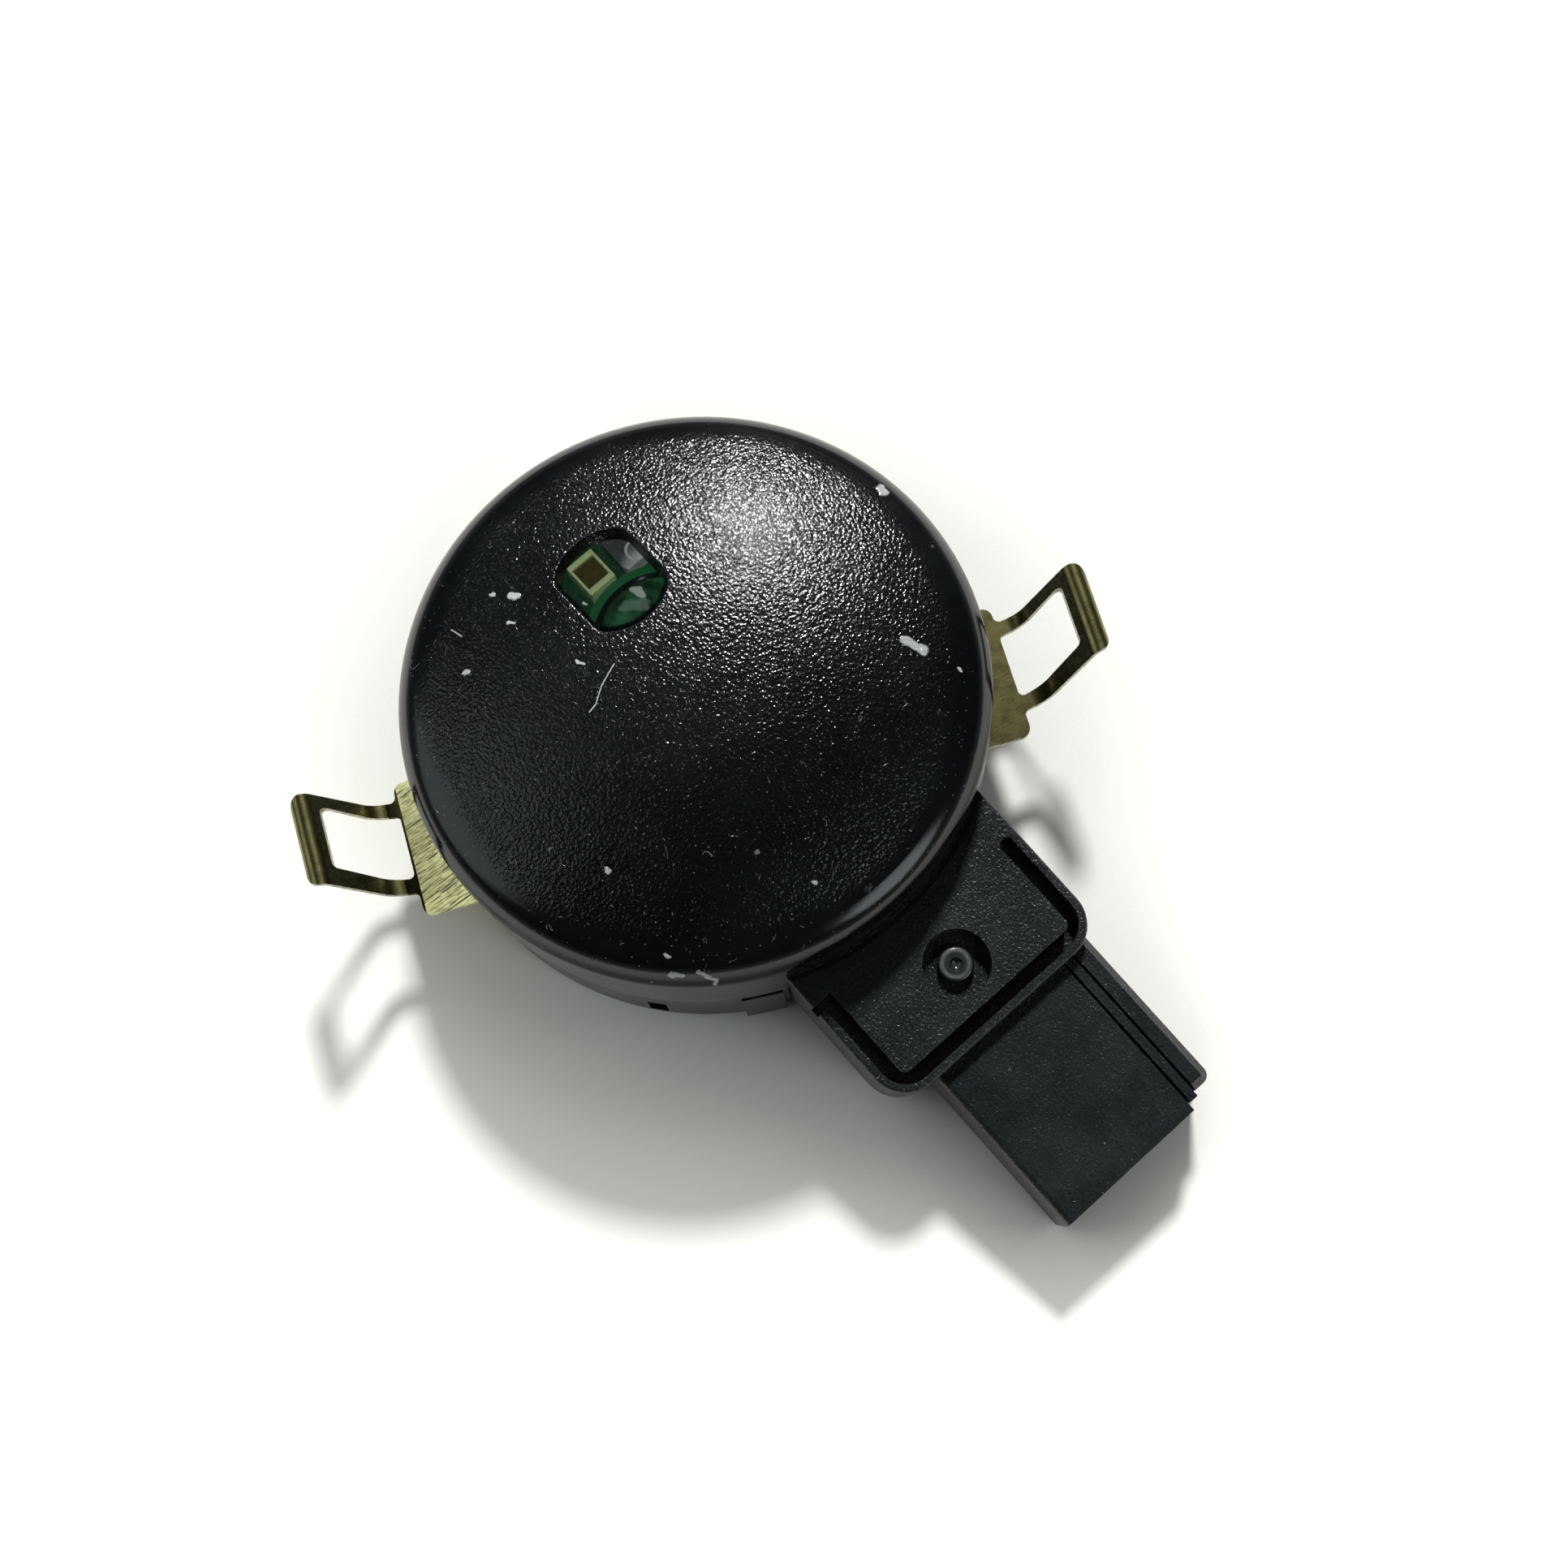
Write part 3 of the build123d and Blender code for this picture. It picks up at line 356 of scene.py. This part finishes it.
# Marks on the cap, each from one end to the other with its width
CAP_FLAKES = [
    ((8.2, 12.75), (9.5, 13.25), 0.75),
    ((-1.9, 19.6), (-1.5, 19.5), 0.7),
    ((15.7, -13.0), (16.8, -12.5), 0.32),
    ((14.5, -14.6), (15.1, -14.0), 0.35),
    ((13.4, -13.9), (13.7, -13.8), 0.3),
    ((-5.5, -5.2), (-5.0, -5.1), 0.24),
    ((-10.9, -11.3), (-10.7, -11.1), 0.38),
    ((-11.4, -6.9), (-11.1, -6.6), 0.26),
    ((-14.0, -6.3), (-13.9, -6.2), 0.36),
    ((-13.4, 11.7), (-13.2, 11.7), 0.32),
    ((11.9, 14.4), (12.1, 14.4), 0.3),
    ((16.6, -3.3), (16.8, -3.2), 0.28),
    ((6.7, -13.2), (6.9, -13.1), 0.42),
    ((-12.9, -5.5), (-12.5, -5.1), 0.6),
]
CAP_HAIRS = [
    ((-3.5, -3.5), (-2.95, -5.1), 0.1),
    ((-2.95, -5.1), (-2.2, -6.3), 0.1),
    ((-2.2, -6.3), (-2.1, -6.95), 0.12),
    ((-14.2, -10.0), (-13.2, -9.8), 0.12),
]
CAP_SCRATCHES = [
    ((-6.4, 12.6), (-4.3, 11.4), 0.09),
    ((-4.3, 11.4), (-3.9, 9.9), 0.12),
    ((-7.9, 8.6), (-7.0, 8.2), 0.12),
]


def make_cap_plastic():
    """Black moulding: a dome with a sparkling eroded grain inside a smooth rim, with dust on it."""
    material, tree = empty_material("cap_plastic")
    where = place(tree)
    flat = flat_place(tree, where)
    radius = vector_math(tree, "LENGTH", flat)
    ragged = wobble(tree, where, 0.6, 0.25)
    ragged_flat = flat_place(tree, ragged)
    ragged_radius = vector_math(tree, "LENGTH", ragged_flat)
    upward = upward_share(tree)
    grained = ramp_mm(tree, ragged_radius, *CAP_GRAIN_EDGE)
    low_side = ramp_mm(tree, along(tree, where, CAP_LOW_ANGLE), *CAP_LOW_SPAN)
    patches = ramp(tree, noise(tree, where, 9.0, 3.0, 0.6), 0.35, 0.65)

    settled = math(tree, "ADD", product(tree, low_side, 0.5), noise(tree, where, 3.0))
    fine_dust = product(tree, specks(tree, where, 0.5, 0.11), ramp(tree, settled, 0.55, 0.95), 0.3)
    big_dust = specks(tree, ragged, 2.4, 0.24)
    big_dust = product(tree, big_dust, ramp(tree, noise(tree, where, 4.0), 0.54, 0.66), 0.6)
    hairs = product(tree, fibres(tree, where, 1.6, 0.008, 0.64), low_side, 0.4)
    rim = ramp_mm(tree, radius, *CAP_RIM_EDGE)
    scuff = product(tree, rim, ramp(tree, noise(tree, where, 1.1, 4.0, 0.75), 0.66, 0.74), 0.12)
    marks = [stroke(tree, ragged_flat, *mark) for mark in CAP_FLAKES]
    marks += [stroke(tree, flat, *mark) for mark in CAP_HAIRS]
    dust = largest(tree, fine_dust, big_dust, hairs, scuff, *marks)

    scratches = largest(tree, *[stroke(tree, flat, *mark) for mark in CAP_SCRATCHES])
    grain = ramp(tree, noise(tree, where, 0.24, 1.0, 0.5), 0.3, 0.7)
    height = product(tree, grain, between(tree, grained, 0.02, 1.0))
    height = math(tree, "SUBTRACT", height, product(tree, scratches, 0.8))
    height = math(tree, "ADD", height, product(tree, dust, 1.2))

    # The wall of the window's hole is painted darker, a painted shade, and has no dust
    hole = product(tree, ramp_mm(tree, radius, *WINDOW_HOLE_EDGE), ramp(tree, upward, 0.6, 0.4))
    dust = product(tree, dust, between(tree, hole, 1.0, 0.0))
    black = mix_colour(tree, patches, (0.0025, 0.0032, 0.0035), (0.0045, 0.0056, 0.006))
    black = mix_colour(tree, hole, black, HOLE_PAINTED_SHADE)
    roughness = between(tree, grained, 0.14, 0.18)
    values = {
        "Base Color": mix_colour(tree, dust, black, DUST_COLOUR),
        "Roughness": math(tree, "ADD", roughness, product(tree, patches, 0.04)),
        "Specular IOR Level": ramp(tree, upward, 0.38, 0.62, 0.06, 0.5),
        "Normal": bump(tree, height, 0.035),
    }
    finish_material(tree, principled(tree, values))
    return material


def make_black_plastic(name, base, roughness, grain_mm, grain_depth_mm, calm_wall=False):
    """Black moulded plastic with a matte grain, light scuffs, worn edges and dust.

    With calm_wall, the round wall is smoother and the connector's grain is a little lower.
    """
    material, tree = empty_material(name)
    where = place(tree)
    grain = noise(tree, where, grain_mm, 2.0, 0.6)
    gloss = roughness - 0.04
    if calm_wall:
        outside = ramp_mm(tree, vector_math(tree, "LENGTH", flat_place(tree, where)), *WALL_EDGE)
        gloss = between(tree, outside, WALL_ROUGHNESS, gloss)
        finer = ramp_mm(tree, along(tree, where, 0.0), *CONNECTOR_EDGE, 1.0, CONNECTOR_GRAIN)
        grain = product(tree, grain, between(tree, outside, WALL_GRAIN, 1.0), finer)
    cloud = ramp(tree, noise(tree, where, 5.0, 4.0, 0.65), 0.35, 0.65)
    worn = edge_wear(tree, where, 0.14)
    scuff = product(tree, ramp(tree, noise(tree, where, 0.7, 5.0, 0.8), 0.62, 0.72), cloud)
    dust = product(tree, specks(tree, where, 0.9, 0.12), ramp(tree, noise(tree, where, 3.5), 0.45, 0.6))
    light = largest(tree, product(tree, worn, 0.12), product(tree, scuff, 0.1), product(tree, dust, 0.6))
    black = mix_colour(tree, cloud, tint(base, 0.8), tint(base, 1.25))
    values = {
        "Base Color": mix_colour(tree, light, black, DUST_COLOUR),
        "Roughness": math(tree, "ADD", product(tree, cloud, 0.08), gloss),
        "Normal": bump(tree, grain, grain_depth_mm),
    }
    finish_material(tree, principled(tree, values))
    return material


def make_carrier():
    """Glossy black plastic; the staked button's top is painted greyer where it is lit, with swirls from the
    hot tool, and a painted highlight ring.
    """
    material, tree = empty_material("carrier_plastic")
    where = place(tree)
    radius = level_distance(tree, where, STAKE_PLACE)
    # The button's top is painted greyer where it is lit, and its ring is a painted highlight
    button = product(tree, ramp_mm(tree, radius, *STAKE_EDGE), ramp(tree, upward_share(tree), 0.5, 0.9))
    ring = ring_share(tree, radius, STAKE_RING, 0.2, 0.05)
    swirl = noise(tree, where, 0.5, 3.0, 0.6)
    grey = mix_colour(tree, swirl, (0.012, 0.015, 0.015), (0.04, 0.046, 0.045))
    grey = mix_colour(tree, product(tree, ring, swirl), grey, STAKE_RING_HIGHLIGHT)
    values = {
        "Base Color": mix_colour(tree, button, CARRIER_BLACK, grey),
        "Roughness": ramp(tree, swirl, 0.3, 0.7, 0.12, 0.24),
        "Normal": bump(tree, swirl, 0.03),
    }
    finish_material(tree, principled(tree, values))
    return material


def make_spring_steel():
    """Sheet steel with an olive passivation; the left spring's plate is brighter in streaks, partly from
    rubbing and partly painted light, and sags a little.
    """
    material, tree = empty_material("spring_steel")
    where = place(tree)
    stretched = {
        "Vector": where,
        "Rotation": (0, 0, radians(STREAK_ANGLE)),
        "Scale": (STREAK_STRETCH, 1.0, 1.0),
    }
    streaked = add_node(tree, "ShaderNodeMapping", stretched, vector_type="TEXTURE").outputs[0]
    outward = along(tree, where, CLIP_ANGLE)
    plate = ramp_mm(tree, outward, *LEFT_CLIP_BORDER)
    plate = product(tree, plate, ramp_mm(tree, outward, *LEFT_PLATE_END))

    lines = product(tree, noise(tree, streaked, 0.12, 2.0, 0.6), 0.03)
    crease = product(tree, noise(tree, streaked, 1.2, 3.0, 0.6), plate, 1.9)
    sag = product(tree, along(tree, where, SAG_ANGLE), plate, -SAG_SLOPE / (CREASE_DEPTH * MM))
    height = math(tree, "ADD", lines, math(tree, "ADD", crease, sag))

    blotches = ramp(tree, noise(tree, where, 1.1, 4.0, 0.65), 0.38, 0.62)
    olive = mix_colour(tree, blotches, (0.12, 0.11, 0.042), (0.2, 0.183, 0.075))
    # The left plate is painted brighter in streaks, partly rubbing and partly painted light
    rubs = ramp(tree, noise(tree, where, 0.45, 4.0, 0.7), 0.36, 0.6)
    rubbed_and_lit = product(tree, between(tree, rubs, 0.7, 1.0), between(tree, plate, 0.06, 1.0))
    # Faces that do not face up are painted paler in flecks: a painted sheen on the bends
    bend_sheen = ramp(tree, upward_share(tree), 0.75, 0.3)
    bend_sheen = product(tree, bend_sheen, ramp(tree, noise(tree, where, 0.35, 3.0, 0.7), 0.42, 0.6), 0.3)
    # The edges are painted paler, partly wear and partly a painted glint
    worn = product(tree, edge_wear(tree, where, 0.12, 0.4), 0.7)
    colour = mix_colour(tree, rubbed_and_lit, olive, RUBBED_AND_LIT_STEEL)
    colour = mix_colour(tree, bend_sheen, colour, BEND_SHEEN_STEEL)
    colour = mix_colour(tree, worn, colour, WEAR_AND_GLINT_STEEL)
    values = {
        "Base Color": colour,
        "Metallic": 1.0,
        "Roughness": math(tree, "ADD", between(tree, blotches, 0.32, 0.25), product(tree, rubbed_and_lit, 0.04)),
        "Normal": bump(tree, height, CREASE_DEPTH),
    }
    finish_material(tree, principled(tree, values))
    return material


def make_metal(name, dark, light, roughness):
    """Plated metal with tarnish clouds and fine drawn lines."""
    material, tree = empty_material(name)
    where = place(tree)
    cloud = ramp(tree, noise(tree, where, 0.9, 4.0, 0.65), 0.35, 0.65)
    drawn = add_node(tree, "ShaderNodeMapping", {"Vector": where, "Scale": (0.15, 1.0, 1.0)}).outputs[0]
    values = {
        "Base Color": mix_colour(tree, cloud, dark, light),
        "Metallic": 1.0,
        "Roughness": between(tree, cloud, roughness + 0.1, roughness),
        "Normal": bump(tree, noise(tree, drawn, 0.08, 2.0), 0.003),
    }
    finish_material(tree, principled(tree, values))
    return material


def make_window_plastic():
    """Clear pane: it lets light through, reflects by Fresnel and has a faint haze."""
    material, tree = empty_material("clear_plastic")
    where = place(tree)
    cloud = noise(tree, where, 1.3, 4.0, 0.7)
    normal = bump(tree, noise(tree, where, 0.5, 2.0), 0.004)
    haze = ramp(tree, cloud, 0.42, 0.68, WINDOW_HAZE * 0.35, WINDOW_HAZE)
    body = cloudy_body(tree, haze, (0.98, 1.0, 0.99, 1.0), (0.5, 0.53, 0.52, 1.0))
    roughness = ramp(tree, cloud, 0.4, 0.7, 0.03, 0.12)
    finish_material(tree, under_gloss(tree, body, roughness, normal))
    return material


def make_frosted_plastic():
    """Clear diode package, frosted more towards one corner, with a painted reflection ring."""
    material, tree = empty_material("diode_plastic")
    where = place(tree)
    cloud = noise(tree, where, 0.8, 3.0, 0.6)
    # A painted reflection ring, made matte white
    centre, ring_radius, fade = BLOCK_REFLECTION_RING
    ring = ring_share(tree, level_distance(tree, where, centre), ring_radius, fade, fade / 3)
    corner = ramp_mm(tree, along(tree, where, FROST_ANGLE), *FROST_SPAN, 0.1, 0.95)
    frosted = product(tree, corner, ramp(tree, cloud, 0.3, 0.7, 0.6, 1.0))
    frosted = largest(tree, frosted, product(tree, ring, 0.6))
    body = cloudy_body(tree, frosted, (0.35, 0.42, 0.38, 1.0), (0.9, 0.96, 0.92, 1.0))
    finish_material(tree, under_gloss(tree, body, 0.12, bump(tree, cloud, 0.01)))
    return material


def make_board():
    """Green solder mask over copper traces, with a few painted glints on the solder."""
    material, tree = empty_material("board_laminate")
    where = place(tree)
    lanes = product(tree, along(tree, where, TRACE_ANGLE), 1 / (TRACE_PITCH * MM))
    lane = math(tree, "ABSOLUTE", math(tree, "SUBTRACT", math(tree, "FRACT", lanes), 0.5))
    trace = product(tree, ramp(tree, lane, 0.2, 0.16), ramp(tree, noise(tree, where, 3.0, 0.0), 0.5, 0.52))
    pour = ramp(tree, noise(tree, where, 7.0, 0.0), 0.54, 0.55)
    copper = largest(tree, trace, pour)
    cloud = noise(tree, where, 1.0, 4.0, 0.7)
    mask = mix_colour(tree, cloud, (0.004, 0.036, 0.012), (0.008, 0.06, 0.02))
    mask = mix_colour(tree, copper, mask, COPPER_UNDER_MASK)
    # Painted glints on the solder
    ragged = wobble(tree, flat_place(tree, where), 0.6, 0.2)
    solder = largest(tree, *[stroke(tree, ragged, *mark) for mark in SOLDER_GLINTS])
    values = {
        "Base Color": mix_colour(tree, solder, mask, SOLDER_GLINT_COLOUR),
        "Roughness": ramp(tree, cloud, 0.3, 0.7, 0.22, 0.38),
        "Normal": bump(tree, copper, 0.03),
    }
    finish_material(tree, principled(tree, values))
    return material


def square_share(tree, where, centre, half_mm, soft_mm):
    """1 inside a level square and 0 outside."""
    offset = vector_math(tree, "SUBTRACT", where, Vector((*centre, 0)) * MM)
    offset = vector_math(tree, "ABSOLUTE", offset)
    parts = add_node(tree, "ShaderNodeSeparateXYZ", {0: offset}).outputs
    far = math(tree, "MAXIMUM", parts["X"], parts["Y"])
    return ramp_mm(tree, far, half_mm + soft_mm, half_mm - soft_mm)


def make_amber():
    """Pale amber diode package with a dark olive die in its cup."""
    material, tree = empty_material("amber_plastic")
    where = place(tree)
    cloud = noise(tree, where, 0.5, 3.0, 0.6)
    die = square_share(tree, where, DIODE_PLACE, DIE_HALF_WIDTH, 0.04)
    pale = mix_colour(tree, cloud, (0.45, 0.56, 0.25), (0.75, 0.85, 0.5))
    dark = mix_colour(tree, cloud, (0.03, 0.026, 0.008), (0.11, 0.09, 0.026))
    values = {
        "Base Color": mix_colour(tree, die, pale, dark),
        "Roughness": ramp(tree, cloud, 0.3, 0.7, 0.12, 0.25),
        "Subsurface Weight": 0.3,
        "Subsurface Radius": (0.0006, 0.0006, 0.0003),
        "Normal": bump(tree, cloud, 0.02),
    }
    finish_material(tree, principled(tree, values))
    return material


def make_chip(name, colour, roughness):
    """Moulded or fired small part with a fine grain and paler clouds."""
    material, tree = empty_material(name)
    where = place(tree)
    cloud = ramp(tree, noise(tree, where, 0.6, 4.0, 0.7), 0.35, 0.65)
    values = {
        "Base Color": mix_colour(tree, cloud, tint(colour, 0.75), tint(colour, 1.25)),
        "Roughness": between(tree, cloud, roughness - 0.06, roughness + 0.06),
        "Normal": bump(tree, noise(tree, where, 0.12, 2.0), 0.012),
    }
    finish_material(tree, principled(tree, values))
    return material


def make_dome_plastic():
    """Clear lens with a green flange, a painted shade in the groove round its dome, and painted glints and
    reflections inside.
    """
    material, tree = empty_material("dome_plastic")
    where = place(tree)
    radius = level_distance(tree, where, DOME_PLACE)
    flange = ramp_mm(tree, radius, *DOME_FLANGE_EDGE)
    # Painted shade in the groove round the dome
    groove = product(tree, ramp_mm(tree, radius, *DOME_GROOVE_SHADE_EDGE), between(tree, flange, 1.0, 0.0))
    inside = ramp_mm(tree, radius, *DOME_INSIDE_EDGE)

    cloud = ramp(tree, noise(tree, where, 2.2, 2.0, 0.5), 0.42, 0.62)
    green = mix_colour(tree, cloud, (0.003, 0.04, 0.014), (0.05, 0.22, 0.1))
    green = mix_colour(tree, flange, green, FLANGE_GREEN)
    green = mix_colour(tree, groove, green, GROOVE_PAINTED_SHADE)
    ragged = wobble(tree, flat_place(tree, where), 0.7, 0.15)
    # Painted glints and a painted tear-shaped reflection inside the dome
    glints = largest(tree, *[stroke(tree, ragged, *mark) for mark in DOME_GLINTS])
    green = mix_colour(tree, product(tree, glints, inside), green, GLINT_COLOUR)
    torn = wobble(tree, flat_place(tree, where), 0.9, 0.4)
    tear_reflection = product(tree, stroke(tree, torn, *DOME_TEAR_REFLECTION), inside, 0.4)
    green = mix_colour(tree, tear_reflection, green, TEAR_REFLECTION_COLOUR)

    seen = [product(tree, flange, 0.8), product(tree, groove, 0.92), product(tree, inside, 0.85)]
    body = cloudy_body(tree, largest(tree, *seen), (0.7, 0.88, 0.78, 1.0), green)
    normal = bump(tree, noise(tree, where, 0.7, 2.0), 0.01)
    finish_material(tree, under_gloss(tree, body, 0.08, normal))
    return material


def make_lens_plastic():
    """Dark red plastic that only infrared light passes, polished with light swirls."""
    material, tree = empty_material("lens_plastic")
    where = place(tree)
    cloud = noise(tree, where, 4.0, 4.0, 0.65)
    swirl = noise(tree, where, 0.9, 3.0, 0.6)
    values = {
        "Base Color": mix_colour(tree, cloud, (0.018, 0.004, 0.006), (0.04, 0.01, 0.016)),
        "Roughness": ramp(tree, swirl, 0.35, 0.7, 0.06, 0.2),
        "Normal": bump(tree, swirl, 0.01),
    }
    finish_material(tree, principled(tree, values))
    return material


def make_silicone():
    """Soft clear pad with a cloudy body, a skin of fine dust and a glossy face."""
    material, tree = empty_material("pad_silicone")
    where = place(tree)
    cloud = noise(tree, where, 3.0, 4.0, 0.65)
    dust = largest(tree, specks(tree, where, 1.1, 0.14), fibres(tree, where, 2.2, 0.01, 0.6))
    milky = math(tree, "ADD", ramp(tree, cloud, 0.3, 0.7, 0.12, 0.3), product(tree, dust, 0.4))
    body = cloudy_body(tree, milky, (0.86, 0.88, 0.88, 1.0), (0.6, 0.62, 0.63, 1.0))
    roughness = ramp(tree, cloud, 0.3, 0.7, 0.15, 0.3)
    finish_material(tree, under_gloss(tree, body, roughness, bump(tree, cloud, 0.05), refraction=1.42))
    return material


dress(["cover_cap"], make_cap_plastic())
housing = make_black_plastic("housing_plastic", HOUSING_BLACK, 0.33, 0.2, 0.08, calm_wall=True)
dress(["housing"], housing)
dress(["terminal_carrier"], make_carrier())
dress(["optic_base"], make_black_plastic("base_plastic", BASE_BLACK, 0.26, 0.4, 0.01))
dress(["optic_lens"], make_lens_plastic())
dress(["coupling_pad"], make_silicone())
dress(["clip_spring_right", "clip_spring_left"], make_spring_steel())
tin = make_metal("terminal_metal", (0.5, 0.49, 0.45), (0.78, 0.77, 0.73), 0.22)
dress(["terminal_pin_1", "terminal_pin_2", "terminal_pin_3"], tin)
dress(["clock_crystal"], make_metal("crystal_metal", (0.5, 0.47, 0.38), (0.74, 0.72, 0.64), 0.3))
dress(["light_window"], make_window_plastic())
dress(["dome_lens"], make_dome_plastic())
diode = make_frosted_plastic()
dress(["infrared_diode", "infrared_emitter_1", "infrared_emitter_2", "infrared_emitter_3"], diode)
dress(["circuit_board"], make_board())
dress(["ambient_diode"], make_amber())
chip = make_chip("chip_plastic", (0.022, 0.023, 0.024), 0.5)
dress(["rain_receiver_1", "rain_receiver_2", "microcontroller", "bus_transceiver"], chip)
dress(["voltage_regulator", "resistors"], chip)
dress(["capacitors"], make_chip("capacitor_ceramic", (0.32, 0.22, 0.14), 0.45))


def make_floor():
    """Pale floor. It glows for the camera and for reflections, less so near the object: a painted shade."""
    half = FLOOR_SIZE / 2
    mesh = bpy.data.meshes.new("floor")
    corners = [(-half, -half, 0), (half, -half, 0), (half, half, 0), (-half, half, 0)]
    mesh.from_pydata(corners, [], [(0, 1, 2, 3)])
    floor = bpy.data.objects.new("floor", mesh)
    bpy.context.scene.collection.objects.link(floor)
    material, tree = empty_material("floor")
    path = add_node(tree, "ShaderNodeLightPath")
    seen = largest(tree, *[path.outputs[f"Is {kind} Ray"] for kind in ("Camera", "Glossy", "Transmission")])
    matte = add_node(tree, "ShaderNodeBsdfDiffuse", {"Color": (*FLOOR_COLOUR, 1.0)})
    open_share = add_node(tree, "ShaderNodeAmbientOcclusion", {"Distance": FLOOR_GLOW_REACH}, samples=4)
    # The glow is darker near the object: a painted shade
    shade = math(tree, "POWER", open_share.outputs["AO"], FLOOR_SHADE_POWER)
    glow = {"Color": (*GLOW_COLOUR, 1.0), "Strength": product(tree, seen, shade, FLOOR_GLOW)}
    glow = add_node(tree, "ShaderNodeEmission", glow)
    both = add_node(tree, "ShaderNodeAddShader", {0: matte.outputs[0], 1: glow.outputs[0]})
    finish_material(tree, both.outputs[0])
    mesh.materials.append(material)


def direction_of(azimuth, height):
    """Direction towards an azimuth from +X and a height over the floor, both in degrees."""
    level = cos(radians(height))
    return Vector((level * cos(radians(azimuth)), level * sin(radians(azimuth)), sin(radians(height))))


def add_lamp(data, way, where):
    """A lamp that shines from the given direction."""
    lamp = bpy.data.objects.new(data.name, data)
    lamp.rotation_euler = way.to_track_quat("Z", "Y").to_euler()
    lamp.location = where
    bpy.context.scene.collection.objects.link(lamp)


def make_lights():
    """A wide sun, a narrow spot into the window, and a dim sky with two soft fields in it.

    The camera sees the sky pale.
    """
    sun = bpy.data.lights.new("key", "SUN")
    sun.energy = KEY_STRENGTH
    sun.angle = radians(KEY_WIDTH)
    add_lamp(sun, direction_of(*KEY_FROM), Vector())

    spot = bpy.data.lights.new("window_spot", "SPOT")
    spot.energy = SPOT_POWER
    spot.spot_size = radians(SPOT_CONE)
    spot.spot_blend = SPOT_BLEND
    spot.shadow_soft_size = SPOT_RADIUS
    way = direction_of(*SPOT_FROM)
    add_lamp(spot, way, Vector(WINDOW_PLACE) * MM + way * SPOT_FAR)

    world = bpy.data.worlds.new("studio")
    bpy.context.scene.world = world
    world.use_nodes = True
    tree = world.node_tree
    tree.nodes.clear()
    direction = add_node(tree, "ShaderNodeTexCoord").outputs["Generated"]
    height = add_node(tree, "ShaderNodeSeparateXYZ", {0: direction}).outputs["Z"]
    sky = ramp(tree, height, 0.0, SKY_HIGH_FROM, SKY_LOW, SKY_HIGH)
    for box in SOFTBOXES:
        near = vector_math(tree, "DOT_PRODUCT", direction, direction_of(*box["from"]))
        edge = cos(radians(box["half_width"]))
        inside = cos(radians(box["half_width"] * SOFTBOX_CORE))
        sky = largest(tree, sky, ramp(tree, near, edge, inside, 0.0, box["strength"]))
    seen = add_node(tree, "ShaderNodeLightPath").outputs["Is Camera Ray"]
    glow = {"Color": (*SKY_COLOUR, 1.0), "Strength": largest(tree, sky, seen)}
    background = add_node(tree, "ShaderNodeBackground", glow)
    add_node(tree, "ShaderNodeOutputWorld", {"Surface": background.outputs[0]})


def make_camera():
    """The photograph's viewing angle and its field of view."""
    data = bpy.data.cameras.new("camera")
    data.sensor_width = CAMERA_SENSOR
    data.lens = CAMERA_SENSOR * CAMERA_FOCUS_SHARE
    data.clip_start = CAMERA_CLIP_START
    camera = bpy.data.objects.new("camera", data)
    back = -CAMERA_FORWARD.normalized()
    right = CAMERA_RIGHT.normalized()
    up = back.cross(right)
    turn = Matrix((right, up, back)).transposed().to_4x4()
    camera.matrix_world = Matrix.Translation(CAMERA_PLACE) @ turn
    bpy.context.scene.collection.objects.link(camera)
    bpy.context.scene.camera = camera


make_floor()
make_lights()
make_camera()

bpy.context.scene.view_settings.view_transform = "Standard"
